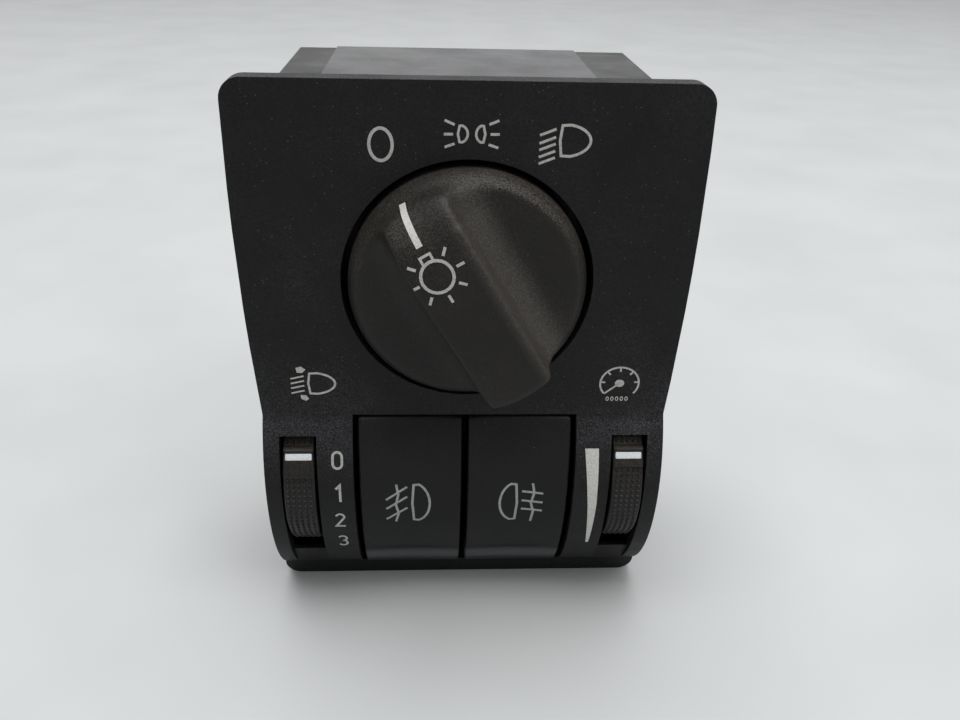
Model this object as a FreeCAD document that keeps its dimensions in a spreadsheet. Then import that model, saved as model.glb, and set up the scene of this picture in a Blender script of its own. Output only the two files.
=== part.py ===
import FreeCAD, Part
import math
import os
import Sketcher

# Headlight switch for a dashboard: fascia with a rotary selector, two fog lamp buttons and two thumbwheels.
# The front faces -Y, +Z is up and X = 0 is the middle. Lengths are in millimetres, angles in degrees.

DOC = FreeCAD.newDocument("HeadlightSwitch")
SHEET = DOC.addObject("Spreadsheet::Sheet", "Sizes")

# Heights are above the fascia's foot. Depths are behind the flat upper panel, and negative in front of it.
DRIVING = (
    ("panel_flare", 2.0, "how far the panel's top corners stand past the row, each side"),
    ("row_width", 80.2, "width of the curved lower row"),
    ("sign_band", 11.6, "panel over the selector's collar, where the symbols are"),
    ("side_radius", 547.0, "bow of the panel's sides"),
    ("corner_radius", 3.8, "top corners"),
    ("foot_radius", 3.5, "bottom corners"),
    ("crease_height", 48.4, "where the flat panel meets the curved row"),
    ("bulge", 4.2, "how far the row stands proud of the panel"),
    ("bulge_height", 33.0, "height of the row's foremost line"),
    ("lip_setback", 8.8, "depth of the row's lower end"),
    ("lip_height", 4.3, "height of the lip under the row"),
    ("lip_rake", 1.1, "slope of the lip"),
    ("skin", 2.2, "wall of the fascia"),
    ("rim_wall", 1.5, "wall of the rim"),
    ("rim_depth", 4.0, "depth of the rim at the top"),
    ("rim_bend_height", 34.0, "height where the rim starts to deepen"),
    ("foot_depth", 14.0, "depth of the rim at the foot"),
    ("foot_step", 8.0, "height of the deep part of the rim"),
    ("hole_rise", 4.7, "selector's hole over the curved row"),
    ("hole_radius", 23.4, "hole for the selector knob"),
    ("collar_wall", 1.8, "wall of the collar behind the hole"),
    ("collar_depth", 7.0, "depth of the collar"),
    ("opening_inset", 10.85, "side of the fog lamp buttons' opening from the thumbwheel's middle"),
    ("opening_foot", 5.3, "lower edge of that opening"),
    ("slot_inset", 6.85, "middle of a thumbwheel's slot from the row's end"),
    ("slot_width", 7.3, "width of a thumbwheel's slot"),
    ("slot_drop", 3.8, "upper end of the slot under the flat panel"),
    ("slot_floor_top", 12.5, "where the slot's sloping floor starts"),
    ("slot_floor_foot", 5.8, "where that floor ends"),
    ("slot_floor_sink", 1.3, "depth of that floor under the surface"),
    ("arm_width", 4.0, "snap arm of the fascia"),
    ("arm_wall", 1.6, "thickness of a snap arm"),
    ("arm_length", 12.5, "reach of a snap arm"),
    ("hook_length", 2.6, "length of its hook"),
    ("hook_rise", 1.4, "height of its hook"),
    ("knob_gap", 0.9, "gap between the selector knob and its hole"),
    ("shoulder_width", 2.1, "width of the knob's shoulder, seen from the front"),
    ("tip_draft", 0.4, "slope of the grip bar's far end"),
    ("knob_back", 6.0, "depth of the knob's skirt"),
    ("knob_face", 3.9, "how far the knob's face stands out"),
    ("shoulder_start", 0.8, "where the rounded shoulder starts"),
    ("shoulder_bend", 2.7, "how far out the shoulder turns in more"),
    ("shoulder_bend_width", 0.7, "width of its outer part"),
    ("grip_front", 14.1, "how far the grip bar stands out"),
    ("grip_width", 13.2, "width of the grip bar"),
    ("grip_draft", 0.15, "narrowing of the grip bar at its top, each side"),
    ("grip_foot", 7.6, "where the finger scoops start on the bar's side"),
    ("grip_edge", 1.4, "rounding of the grip bar's long edges"),
    ("grip_crest", 0.1, "how far over the bar's top that rounding would end"),
    ("grip_end_edge", 0.7, "bevel of its far end's upper edge"),
    ("grip_corner", 2.4, "rounding of the bar's far corners"),
    ("scoop_reach", 13.6, "where the finger scoops become flat"),
    ("scoop_radius", 9.0, "hollow of the finger scoops"),
    ("nose_start", 5.5, "where the pointer end starts to fall"),
    ("nose_ease_radius", 28.0, "radius of its first, slow fall"),
    ("nose_ease", 16.0, "angle of that fall"),
    ("nose_radius", 10.5, "roundness of the pointer end"),
    ("crown_drop", 0.5, "fall of the grip bar's top towards its ends"),
    ("knob_wall", 2.0, "wall of the knob"),
    ("boss_radius", 8.5, "boss inside the knob"),
    ("shaft_width", 8.0, "square selector shaft"),
    ("shaft_socket", 4.0, "how far the shaft reaches in front of the panel"),
    ("selector_step", 31.0, "angle between two selector positions"),
    ("rotor_front", 9.5, "front face of the rotor"),
    ("flange_radius", 19.0, "rotor flange"),
    ("flange_wall", 3.0, "thickness of that flange"),
    ("notch_radius", 2.6, "detent notches in the flange"),
    ("journal_radius", 8.0, "rotor journal"),
    ("bearing_wall", 3.0, "wall of the rotor's bearing"),
    ("bearing_setback", 4.5, "rotor's end past its bearing"),
    ("running_gap", 0.05, "clearance of what turns or slides"),
    ("seat_gap", 0.3, "clearance of what is set in place"),
    ("contact_wall", 0.6, "thickness of the contact discs and wipers"),
    ("pip_half", 1.0, "half of a contact pip's side"),
    ("pip_circle", 6.9, "radius on which the contact pips lie"),
    ("pip_margin", 0.6, "metal left outside the pips"),
    ("track_wall", 0.2, "thickness of the contact tracks"),
    ("detent_wall", 0.6, "detent leaf spring"),
    ("detent_width", 2.6, "width of that spring"),
    ("detent_span", 24.0, "length of that spring"),
    ("detent_rise", 3.4, "height of its ends over its nose"),
    ("post_radius", 1.8, "posts that carry the detent spring"),
    ("button_gap", 0.95, "gap around a fog lamp button"),
    ("middle_gap", 1.2, "gap between the two buttons"),
    ("button_top_gap", 0.5, "gap over a button"),
    ("button_foot_gap", 0.4, "gap under a button"),
    ("ridge_height", 12.5, "height of the ridge across a button"),
    ("ridge_step", 0.5, "height of that ridge"),
    ("button_arc", 38.5, "curve of a button's main face at its sides"),
    ("dish_depth", 0.6, "hollow across that face"),
    ("button_wall", 1.6, "wall of a button"),
    ("button_back", 12.5, "depth of a button's skirt"),
    ("button_travel", 2.2, "how far a button presses in"),
    ("stem_width", 8.0, "stem behind a button"),
    ("stem_height", 5.0, "height of that stem"),
    ("stem_level", 27.0, "height of that stem's axis"),
    ("stem_back", 21.0, "how deep that stem reaches"),
    ("fog_front", 16.0, "front face of a fog lamp switch"),
    ("fog_margin", 1.925, "side of a fog lamp switch from the button's side"),
    ("fog_height", 20.0, "height of a fog lamp switch"),
    ("wheel_radius", 18.0, "thumbwheel"),
    ("wheel_stand", 5.4, "how far a thumbwheel stands in front of the flat panel"),
    ("wheel_head", 0.5, "gap over a thumbwheel"),
    ("wheel_width", 6.2, "width of a thumbwheel"),
    ("wheel_web", 2.6, "web of a thumbwheel"),
    ("wheel_rim", 2.4, "rim of a thumbwheel"),
    ("groove_width", 0.5, "width of the grooves between the ribs"),
    ("hub_radius", 4.0, "hub of a thumbwheel"),
    ("shoulder", 5.6, "radius of the hub's shoulder"),
    ("rib_pitch", 3.75, "angle between two ribs of the rim"),
    ("rib_depth", 0.35, "depth of the grooves between the ribs"),
    ("land_half", 15.0, "half of the smooth land round the marker"),
    ("marker_angle", 31.2, "where the white marker lies"),
    ("marker_height", 1.5, "marker along the rim"),
    ("marker_margin", 0.35, "rim left beside the marker"),
    ("marker_sink", 1.0, "depth of the marker in the rim"),
    ("wheel_travel", 75.0, "angle from 0 to 3"),
    ("axle_radius", 1.5, "thumbwheel axle"),
    ("board_wall", 1.4, "thickness of the resistor boards"),
    ("board_reach", 10.0, "half of a resistor board's side"),
    ("wiper_radius", 9.0, "radius of a wiper"),
    ("pod_step", 3.1, "how far the thumbwheels' bays stand past the housing's sides"),
    ("housing_drop", 2.4, "main housing's top under the fascia's top"),
    ("housing_foot", 2.5, "main housing's floor over the fascia's foot"),
    ("housing_wall", 2.0, "wall of the main housing"),
    ("pod_ledge", 2.5, "row past the thumbwheels' bays, each side"),
    ("pod_wall", 1.0, "outer wall at the thumbwheels"),
    ("bay_inset", 7.25, "inner wall of a thumbwheel's bay from the wheel's middle"),
    ("pod_inner_wall", 1.6, "thickness of that wall"),
    ("deck_wall", 1.5, "roof of the bays under the selector"),
    ("wheel_room", 2.4, "gap behind a thumbwheel"),
    ("partition_front", 18.0, "front of the wall that carries the rotor"),
    ("pad_rise", 0.7, "raised pad on the housing's top"),
    ("pad_left", 26.5, "left end of that pad"),
    ("pad_right", 23.5, "right end of that pad"),
    ("pad_front", 5.0, "front end of that pad"),
    ("screw_post", 5.0, "radius of the screw posts under the board"),
    ("screw_neck", 3.2, "radius of the screw posts past the board"),
    ("screw_inset", 4.6, "screw posts from the housing's inner walls"),
    ("screw_radius", 1.3, "cover screws"),
    ("screw_head", 2.6, "radius of their heads"),
    ("screw_head_wall", 1.6, "thickness of their heads"),
    ("screw_length", 11.0, "length of their shanks"),
    ("board_room", 1.0, "circuit board behind the bays"),
    ("circuit_wall", 1.6, "thickness of the circuit board"),
    ("back_room", 7.4, "rear cover behind the circuit board"),
    ("cover_wall", 2.5, "rear cover"),
    ("spigot_wall", 1.0, "rim of the cover inside the housing"),
    ("spigot_depth", 2.5, "depth of that rim"),
    ("shroud_width", 31.0, "connector shroud"),
    ("shroud_height", 17.0, "height of the connector shroud"),
    ("shroud_wall", 2.0, "wall of the connector shroud"),
    ("shroud_length", 9.5, "how far the shroud stands out"),
    ("shroud_level", 42.0, "height of the shroud's middle"),
    ("pin_pitch", 3.6, "spacing of the connector pins"),
    ("pin_row_pitch", 5.0, "spacing of the two rows of pins"),
    ("pin_width", 1.0, "connector pins"),
    ("pin_reach", 5.0, "how far the pins stand in the shroud"),
    ("pull_switch_width", 15.0, "switch that the pulled shaft works"),
    ("pull_switch_depth", 7.0, "depth of that switch"),
    ("tail_hole", 6.3, "radius of the holes round the shaft's tail"),
    ("guide_width", 44.0, "light guide behind the symbols"),
    ("guide_margin", 3.4, "leg of the light guide under its top"),
    ("guide_wall", 2.0, "thickness of the light guide"),
    ("guide_leg_width", 18.0, "leg that leads the light in"),
    ("lamp_width", 3.2, "lamps of the lighting"),
    ("lamp_wall", 1.6, "thickness of the lamps"),
    ("clip_wall", 0.6, "retaining springs"),
    ("clip_height", 9.0, "width of a retaining spring's strip"),
    ("clip_level", 84.0, "height of its middle"),
    ("clip_front", 9.0, "front end of a retaining spring"),
    ("clip_length", 20.0, "length of a retaining spring"),
    ("clip_spread", 3.2, "how far a retaining spring stands out"),
    ("clip_lug", 1.6, "lugs that hold a retaining spring"),
    ("clip_lug_rise", 1.8, "height of those lugs"),
)

for row, (alias, value, note) in enumerate(DRIVING, start=1):
    SHEET.set(f"A{row}", alias)
    SHEET.set(f"B{row}", repr(value))
    SHEET.set(f"C{row}", note)
    SHEET.setAlias(f"B{row}", alias)
DOC.recompute()


class Size:
    """A value from the sheet, or worked out from such values, with the formula that gives it."""

    def __init__(self, formula, value):
        self.formula = formula
        self.value = float(value)

    def __add__(self, other):
        other = as_size(other)
        return Size(f"({self.formula} + {other.formula})", self.value + other.value)

    def __sub__(self, other):
        other = as_size(other)
        return Size(f"({self.formula} - {other.formula})", self.value - other.value)

    def __mul__(self, other):
        other = as_size(other)
        return Size(f"({self.formula} * {other.formula})", self.value * other.value)

    def __truediv__(self, other):
        other = as_size(other)
        return Size(f"({self.formula} / {other.formula})", self.value / other.value)

    def __radd__(self, other):
        return as_size(other) + self

    def __rsub__(self, other):
        return as_size(other) - self

    def __rmul__(self, other):
        return as_size(other) * self

    def __neg__(self):
        return Size(f"(0 - {self.formula})", -self.value)


def as_size(term):
    return term if isinstance(term, Size) else Size(repr(float(term)), term)


def root(term):
    return Size(f"sqrt({term.formula})", math.sqrt(term.value))


def whole(term):
    return Size(f"floor({term.formula} + 0.5)", math.floor(term.value + 0.5))


def cosine(angle):
    angle = as_size(angle)
    return Size(f"cos({angle.formula} * 1 deg)", math.cos(math.radians(angle.value)))


def sine(angle):
    angle = as_size(angle)
    return Size(f"sin({angle.formula} * 1 deg)", math.sin(math.radians(angle.value)))


class Sizes:
    """Gives each value of the sheet by its alias."""

    def __getattr__(self, alias):
        return Size(f"Sizes.{alias}", SHEET.get(alias))


S = Sizes()

# Values that several pieces share.
ROW_HALF = S.row_width / 2
PANEL_HALF = ROW_HALF + S.panel_flare
COLLAR = S.hole_radius + S.collar_wall
KNOB_LEVEL = S.crease_height + S.hole_rise + S.hole_radius
PANEL_TOP = KNOB_LEVEL + COLLAR + S.sign_band
UPPER_RISE = S.crease_height - S.bulge_height
UPPER_ARC = (UPPER_RISE * UPPER_RISE + S.bulge * S.bulge) / (2 * S.bulge)
LOWER_DROP = S.bulge_height - S.lip_height
LOWER_BACK = S.lip_setback + S.bulge
LOWER_ARC = (LOWER_DROP * LOWER_DROP + LOWER_BACK * LOWER_BACK) / (2 * LOWER_BACK)
LIP_FOOT = S.lip_setback + S.lip_rake
DECK_TOP = KNOB_LEVEL - COLLAR - S.seat_gap
BAY_TOP = DECK_TOP - S.deck_wall
SLOT_CENTRE = ROW_HALF - S.slot_inset
SLOT_HALF = S.slot_width / 2
SLOT_TOP = S.crease_height - S.slot_drop
OPENING_HALF = SLOT_CENTRE - S.opening_inset
BUTTON_FAR = OPENING_HALF - S.button_gap
BUTTON_NEAR = S.middle_gap / 2
FOG_HALF = (BUTTON_FAR - BUTTON_NEAR) / 2 - S.fog_margin
WHEEL_DEPTH = S.wheel_radius - S.wheel_stand
WHEEL_LEVEL = BAY_TOP - S.wheel_head - S.wheel_radius
POD_HALF = ROW_HALF - S.pod_ledge
POD_INNER = SLOT_CENTRE - S.bay_inset
POD_BACK = WHEEL_DEPTH + S.wheel_radius + S.wheel_room + S.housing_wall
BAY_BACK = POD_BACK - S.housing_wall
HOUSING_HALF = POD_HALF - S.pod_step
HOUSING_TOP = PANEL_TOP - S.housing_drop
HOUSING_FRONT = S.skin + S.seat_gap
INNER_HALF = HOUSING_HALF - S.housing_wall
INNER_TOP = HOUSING_TOP - S.housing_wall
INNER_FOOT = S.housing_foot + S.housing_wall
ARM_CENTRE = INNER_HALF - S.arm_width / 2
PARTITION_BACK = S.partition_front + S.housing_wall
CIRCUIT_FRONT = POD_BACK + S.board_room
CIRCUIT_BACK = CIRCUIT_FRONT + S.circuit_wall
HOUSING_BACK = CIRCUIT_BACK + S.back_room
COVER_BACK = HOUSING_BACK + S.cover_wall
REAR_END = COVER_BACK + S.shroud_length
KNOB_RADIUS = S.hole_radius - S.knob_gap
FACE_RADIUS = KNOB_RADIUS - S.shoulder_width
TIP_RADIUS = FACE_RADIUS - S.tip_draft
ROTOR_BACK = CIRCUIT_FRONT - S.track_wall - S.contact_wall * 2 - S.seat_gap
SHAFT_BACK = CIRCUIT_BACK + S.pull_switch_depth
BEARING_FRONT = S.rotor_front + S.flange_wall + S.seat_gap
SPRING_NOSE = KNOB_LEVEL + S.flange_radius + S.running_gap * 2
SPRING_END = SPRING_NOSE + S.detent_rise
LEVEL = S.shroud_level
GUIDE_TOP = INNER_TOP - S.arm_wall
GUIDE_LEVEL = GUIDE_TOP - S.guide_margin
SIDES = ((-1, "left"), (1, "right"))
PROUD = 10.0
BEYOND = 90.0

# The object's box is centred on the origin, so the panel stands in front of it by half of the difference.
PANEL_Y = (S.grip_front - REAR_END) / 2

# Each plane: its role in a body, the sign of its normal, and which way a pad and a pocket must be turned
# so that both run towards +X, +Y or +Z.
PLANES = {
    "side": ("YZ_Plane", 1, False, True),
    "front": ("XZ_Plane", -1, True, False),
    "top": ("XY_Plane", 1, False, True),
}


def bind(thing, path, size):
    thing.setExpression(path, as_size(size).formula)


def new_body(label, x=0, y=0, z=0):
    """A body whose own origin lies at a point given from the panel's plane and the fascia's foot."""
    body = DOC.addObject("PartDesign::Body", label)
    body.Label = label
    bind(body, "Placement.Base.x", x)
    bind(body, "Placement.Base.y", PANEL_Y + y)
    bind(body, "Placement.Base.z", z)
    return body


def arc_between(start, stop, radius):
    """The arc from start to stop. A positive radius turns left, a negative one turns right."""
    dx = stop[0] - start[0]
    dy = stop[1] - start[1]
    chord = math.hypot(dx, dy)
    reach = math.sqrt(max(radius * radius - chord * chord / 4, 0.0))
    side = math.copysign(1.0, radius)
    cx = (start[0] + stop[0]) / 2 - side * dy / chord * reach
    cy = (start[1] + stop[1]) / 2 + side * dx / chord * reach
    first, last = (start, stop) if radius > 0 else (stop, start)
    circle = Part.Circle(FreeCAD.Vector(cx, cy, 0), FreeCAD.Vector(0, 0, 1), abs(radius))
    a = math.atan2(first[1] - cy, first[0] - cx)
    b = math.atan2(last[1] - cy, last[0] - cx)
    return Part.ArcOfCircle(circle, a, b if b > a else b + 2 * math.pi)


def pin_point(sketch, geometry, end, x, y):
    """Ties one end of a line or arc, or a circle's centre, to its place in the sketch."""
    for kind, size in (("DistanceX", x), ("DistanceY", y)):
        size = as_size(size)
        at = sketch.addConstraint(Sketcher.Constraint(kind, -1, 1, geometry, end, size.value))
        bind(sketch, f"Constraints[{at}]", size)


def draw_radius(sketch, geometry, radius):
    at = sketch.addConstraint(Sketcher.Constraint("Radius", geometry, radius.value))
    bind(sketch, f"Constraints[{at}]", radius)


def draw_outline(sketch, corners):
    """Corners are (x, y), or (x, y, radius) where an arc runs on to the next corner."""
    ends = []
    for corner, following in zip(corners, corners[1:] + corners[:1]):
        start = (as_size(corner[0]).value, as_size(corner[1]).value)
        stop = (as_size(following[0]).value, as_size(following[1]).value)
        if len(corner) == 3:
            radius = as_size(corner[2])
            geometry = sketch.addGeometry(arc_between(start, stop, radius.value), False)
            turn = radius.value > 0
            ends.append((geometry, 1 if turn else 2, 2 if turn else 1))
            draw_radius(sketch, geometry, radius if turn else -radius)
        else:
            line = Part.LineSegment(FreeCAD.Vector(*start, 0), FreeCAD.Vector(*stop, 0))
            geometry = sketch.addGeometry(line, False)
            ends.append((geometry, 1, 2))
        pin_point(sketch, geometry, ends[-1][1], corner[0], corner[1])
    for (this, _, leave), (other, enter, _) in zip(ends, ends[1:] + ends[:1]):
        sketch.addConstraint(Sketcher.Constraint("Coincident", this, leave, other, enter))


def draw_circle(sketch, x, y, radius):
    radius = as_size(radius)
    centre = FreeCAD.Vector(as_size(x).value, as_size(y).value, 0)
    circle = Part.Circle(centre, FreeCAD.Vector(0, 0, 1), radius.value)
    geometry = sketch.addGeometry(circle, False)
    pin_point(sketch, geometry, 3, x, y)
    draw_radius(sketch, geometry, radius)


def box(x0, y0, x1, y1):
    return [(x0, y0), (x1, y0), (x1, y1), (x0, y1)]


def square_at(x, y, half):
    return box(x - half, y - half, x + half, y + half)


def sketch_in(body, plane, start, shapes):
    """A sketch parallel to a plane of the body. A shape is a list of corners or a circle (x, y, radius)."""
    role, normal, _, _ = PLANES[plane]
    sketch = body.newObject("Sketcher::SketchObject", f"{body.Label}_sketch")
    support = next(feature for feature in body.Origin.OriginFeatures if feature.Role == role)
    sketch.AttachmentSupport = (support, [""])
    sketch.MapMode = "FlatFace"
    bind(sketch, "AttachmentOffset.Base.z", normal * as_size(start))
    for shape in shapes:
        if isinstance(shape, list):
            draw_outline(sketch, shape)
        else:
            draw_circle(sketch, *shape)
    return sketch


def pad(body, plane, start, stop, *shapes):
    """Adds the shapes from start to stop across the plane."""
    feature = body.newObject("PartDesign::Pad", f"{body.Label}_pad")
    feature.Profile = sketch_in(body, plane, start, shapes)
    feature.Reversed = PLANES[plane][2]
    bind(feature, "Length", as_size(stop) - as_size(start))
    DOC.recompute()
    return feature


def pocket(body, plane, start, stop, *shapes):
    """Cuts the shapes from start to stop across the plane."""
    feature = body.newObject("PartDesign::Pocket", f"{body.Label}_pocket")
    feature.Profile = sketch_in(body, plane, start, shapes)
    feature.Reversed = PLANES[plane][3]
    bind(feature, "Length", as_size(stop) - as_size(start))
    DOC.recompute()
    return feature


def turned(body, kind, plane, corners):
    """Revolves or grooves a half section about the first axis of its plane."""
    feature = body.newObject(f"PartDesign::{kind}", f"{body.Label}_{kind.lower()}")
    sketch = sketch_in(body, plane, 0, [corners])
    feature.Profile = sketch
    feature.ReferenceAxis = (sketch, ["H_Axis"])
    feature.Angle = 360
    DOC.recompute()
    return feature


def side_ends(side, inner, outer):
    """The two distances from the middle on one side, lower first."""
    return (inner, outer) if side > 0 else (-outer, -inner)


def row_front(height):
    """Depth of the row's surface at a height between its foremost line and the crease."""
    rise = height - S.bulge_height
    return UPPER_ARC - S.bulge - root(UPPER_ARC * UPPER_ARC - rise * rise)


def row_front_low(height):
    """Depth of the row's surface at a height under its foremost line."""
    fall = S.bulge_height - height
    return LOWER_ARC - S.bulge - root(LOWER_ARC * LOWER_ARC - fall * fall)


def fascia_outline(inset):
    """The fascia seen from the front, or a line inside it by the inset."""
    top = PANEL_TOP - inset
    half = PANEL_HALF - inset
    row = ROW_HALF - inset
    corner = S.corner_radius - inset
    foot_corner = S.foot_radius - inset
    bow = S.side_radius - inset
    return [
        (corner - half, top),
        (half - corner, top, -corner),
        (half, top - corner, -bow),
        (row, S.crease_height),
        (row, inset + foot_corner, -foot_corner),
        (row - foot_corner, as_size(inset)),
        (foot_corner - row, as_size(inset), -foot_corner),
        (-row, inset + foot_corner),
        (-row, S.crease_height, -bow),
        (-half, top - corner, -corner),
    ]


def make_fascia():
    """Moulded front: flat panel above, curved row below, one rim all round."""
    body = new_body("fascia")
    into = S.skin / UPPER_ARC
    into_low = S.skin / LOWER_ARC
    front = [
        (0, S.crease_height, UPPER_ARC),
        (-S.bulge, S.bulge_height, LOWER_ARC),
        (S.lip_setback, S.lip_height),
        (LIP_FOOT, 0),
    ]
    back = [
        (S.foot_depth, 0),
        (S.foot_depth, S.skin),
        (LIP_FOOT + S.skin, S.skin),
        (
            S.lip_setback + into_low * (LOWER_ARC - LOWER_BACK),
            S.lip_height + into_low * LOWER_DROP,
            S.skin - LOWER_ARC,
        ),
        (S.skin - S.bulge, S.bulge_height, S.skin - UPPER_ARC),
        (into * (UPPER_ARC - S.bulge), S.crease_height - into * (S.crease_height - S.bulge_height)),
        (S.skin, S.crease_height),
        (S.skin, PANEL_TOP - S.rim_wall),
        (S.rim_depth, PANEL_TOP - S.rim_wall),
        (S.rim_depth, PANEL_TOP),
    ]
    pad(body, "side", -PANEL_HALF, PANEL_HALF, [(0, PANEL_TOP)] + front + back)
    frame = box(-BEYOND, -BEYOND, BEYOND, BEYOND + PANEL_TOP)
    pocket(body, "front", -PROUD * 2, BEYOND, frame, fascia_outline(as_size(0)))
    pad(body, "front", -PROUD, S.foot_depth, fascia_outline(as_size(0)), fascia_outline(S.rim_wall))
    ahead = [(0, PANEL_TOP + PROUD)] + front + [(LIP_FOOT, -PROUD), (-BEYOND, -PROUD)]
    pocket(body, "side", -BEYOND, BEYOND, ahead + [(-BEYOND, PANEL_TOP + PROUD)])
    behind = [
        (S.rim_depth, PANEL_TOP + PROUD),
        (S.rim_depth, S.rim_bend_height),
        (S.foot_depth, S.foot_step),
        (BEYOND, S.foot_step),
        (BEYOND, PANEL_TOP + PROUD),
    ]
    pocket(body, "side", -BEYOND, BEYOND, behind)
    pad(body, "front", S.skin / 2, S.collar_depth, (0, KNOB_LEVEL, COLLAR))
    pocket(body, "front", -PROUD, BEYOND, (0, KNOB_LEVEL, S.hole_radius))
    half = OPENING_HALF
    pocket(body, "front", -PROUD, BEYOND, box(-half, S.opening_foot, half, S.crease_height))
    for side, _ in SIDES:
        make_wheel_slot(body, side)
        make_snap_arm(body, side)
    return body


def make_wheel_slot(body, side):
    """Slot with a clearance for the wheel's rim and a sloping floor at its lower end."""
    near = side * SLOT_CENTRE - SLOT_HALF
    far = side * SLOT_CENTRE + SLOT_HALF
    pocket(body, "front", -PROUD, BEYOND, box(near, S.slot_floor_top, far, SLOT_TOP))
    pocket(body, "side", near, far, (WHEEL_DEPTH, WHEEL_LEVEL, S.wheel_radius + S.seat_gap * 2))
    sink = S.slot_floor_sink
    floor = [
        (row_front_low(S.slot_floor_top) + sink, S.slot_floor_top),
        (row_front_low(S.slot_floor_foot), S.slot_floor_foot),
        (-PROUD, S.slot_floor_foot),
        (-PROUD, S.slot_floor_top),
    ]
    pocket(body, "side", near, far, floor)


def make_snap_arm(body, side):
    """Arm that reaches under the housing's top, with a hook in the housing's hole."""
    top = INNER_TOP - S.seat_gap
    near = side * ARM_CENTRE - S.arm_width / 2
    far = side * ARM_CENTRE + S.arm_width / 2
    hook = S.arm_length - S.hook_length
    arm = [
        (S.skin / 2, top - S.arm_wall),
        (S.arm_length, top - S.arm_wall),
        (S.arm_length, top),
        (hook, top + S.hook_rise),
        (hook, top),
        (S.skin / 2, top),
    ]
    pad(body, "side", near, far, arm)


def make_housing():
    """Main housing: open at the back, with bays at the front for the wheels, the buttons and the rotor."""
    body = new_body("main_housing")
    case = box(-HOUSING_HALF, S.housing_foot, HOUSING_HALF, HOUSING_TOP)
    pad(body, "front", HOUSING_FRONT, HOUSING_BACK, case)
    pod_half = POD_HALF
    pad(body, "front", HOUSING_FRONT, POD_BACK, box(-pod_half, S.housing_foot, pod_half, DECK_TOP))
    pad(
        body,
        "front",
        S.pad_front,
        HOUSING_BACK,
        box(-S.pad_left, HOUSING_TOP - S.housing_wall / 2, S.pad_right, HOUSING_TOP + S.pad_rise),
    )
    upper = box(-INNER_HALF, DECK_TOP, INNER_HALF, INNER_TOP)
    pocket(body, "front", -PROUD, S.partition_front, upper)
    pocket(body, "front", PARTITION_BACK, HOUSING_BACK + PROUD, upper)
    whole = box(-INNER_HALF, INNER_FOOT, INNER_HALF, INNER_TOP)
    pocket(body, "front", POD_BACK, HOUSING_BACK + PROUD, whole)
    bay_half = POD_INNER - S.pod_inner_wall
    pocket(body, "front", -PROUD, BAY_BACK, box(-bay_half, INNER_FOOT, bay_half, BAY_TOP))
    for side, _ in SIDES:
        ends = side_ends(side, POD_INNER, pod_half - S.pod_wall)
        bay = box(ends[0], INNER_FOOT, ends[1], BAY_TOP)
        pocket(body, "front", -PROUD, POD_BACK - S.housing_wall, bay)
    # The floor reaches over the fascia's foot, so that no light comes in between them.
    floor_front = LIP_FOOT + S.skin + S.seat_gap
    nose = [
        (-PROUD, INNER_FOOT + LOWER_BACK + S.foot_step),
        (HOUSING_FRONT, INNER_FOOT + LOWER_BACK + S.foot_step),
        (floor_front, INNER_FOOT),
        (floor_front, -PROUD),
        (-PROUD, -PROUD),
    ]
    pocket(body, "side", -BEYOND, BEYOND, nose)
    bearing = S.journal_radius + S.running_gap
    tube = (0, KNOB_LEVEL, bearing + S.bearing_wall)
    pad(body, "front", BEARING_FRONT, ROTOR_BACK - S.bearing_setback, tube)
    pocket(body, "front", -PROUD, BEYOND, (0, KNOB_LEVEL, bearing))
    level = SPRING_END + S.detent_wall + S.running_gap + S.post_radius
    for side, _ in SIDES:
        post = (side * S.detent_span / 2, level, S.post_radius)
        pad(body, "front", S.rotor_front, S.partition_front + S.housing_wall / 2, post)
    leg = S.guide_leg_width / 2 + S.seat_gap
    thick = S.guide_wall / 2 + S.seat_gap
    window = box(-leg, GUIDE_LEVEL - thick, leg, GUIDE_LEVEL + thick)
    pocket(body, "front", S.partition_front - PROUD / 2, PARTITION_BACK + PROUD / 2, window)
    for x, z in screw_places():
        pad(body, "front", POD_BACK - S.housing_wall, CIRCUIT_FRONT, (x, z, S.screw_post))
        pad(body, "front", CIRCUIT_FRONT, HOUSING_BACK, (x, z, S.screw_neck))
        pocket(body, "front", COVER_BACK - S.screw_length - S.seat_gap, BEYOND, (x, z, S.screw_radius))
    for side, _ in SIDES:
        make_housing_side(body, side, pod_half)
    return body


def make_housing_side(body, side, pod_half):
    """Latch hole, axle seat and spring lugs on one side of the housing."""
    gap = S.seat_gap
    near = side * ARM_CENTRE - S.arm_width / 2 - gap
    far = side * ARM_CENTRE + S.arm_width / 2 + gap
    latch = S.arm_length - S.hook_length - gap
    pocket(body, "top", INNER_TOP - gap, BEYOND + HOUSING_TOP, box(near, latch, far, S.arm_length + gap))
    inner = POD_INNER - S.pod_inner_wall
    ends = side_ends(side, inner, pod_half)
    pocket(body, "side", ends[0], ends[1], (WHEEL_DEPTH, WHEEL_LEVEL, S.axle_radius))
    wall = HOUSING_HALF - S.housing_wall / 2
    ends = side_ends(side, wall, HOUSING_HALF + S.clip_lug_rise)
    half = S.clip_height / 2
    for start in (S.clip_front - S.clip_lug - gap, S.clip_front + S.clip_length + gap):
        lug = box(start, S.clip_level - half, start + S.clip_lug, S.clip_level + half)
        pad(body, "side", ends[0], ends[1], lug)


def screw_places():
    """The four screw posts of the rear cover, seen from the front."""
    half = INNER_HALF - S.screw_inset
    return [
        (side * half, height)
        for side, _ in SIDES
        for height in (INNER_FOOT + S.screw_inset, INNER_TOP - S.screw_inset)
    ]


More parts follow.
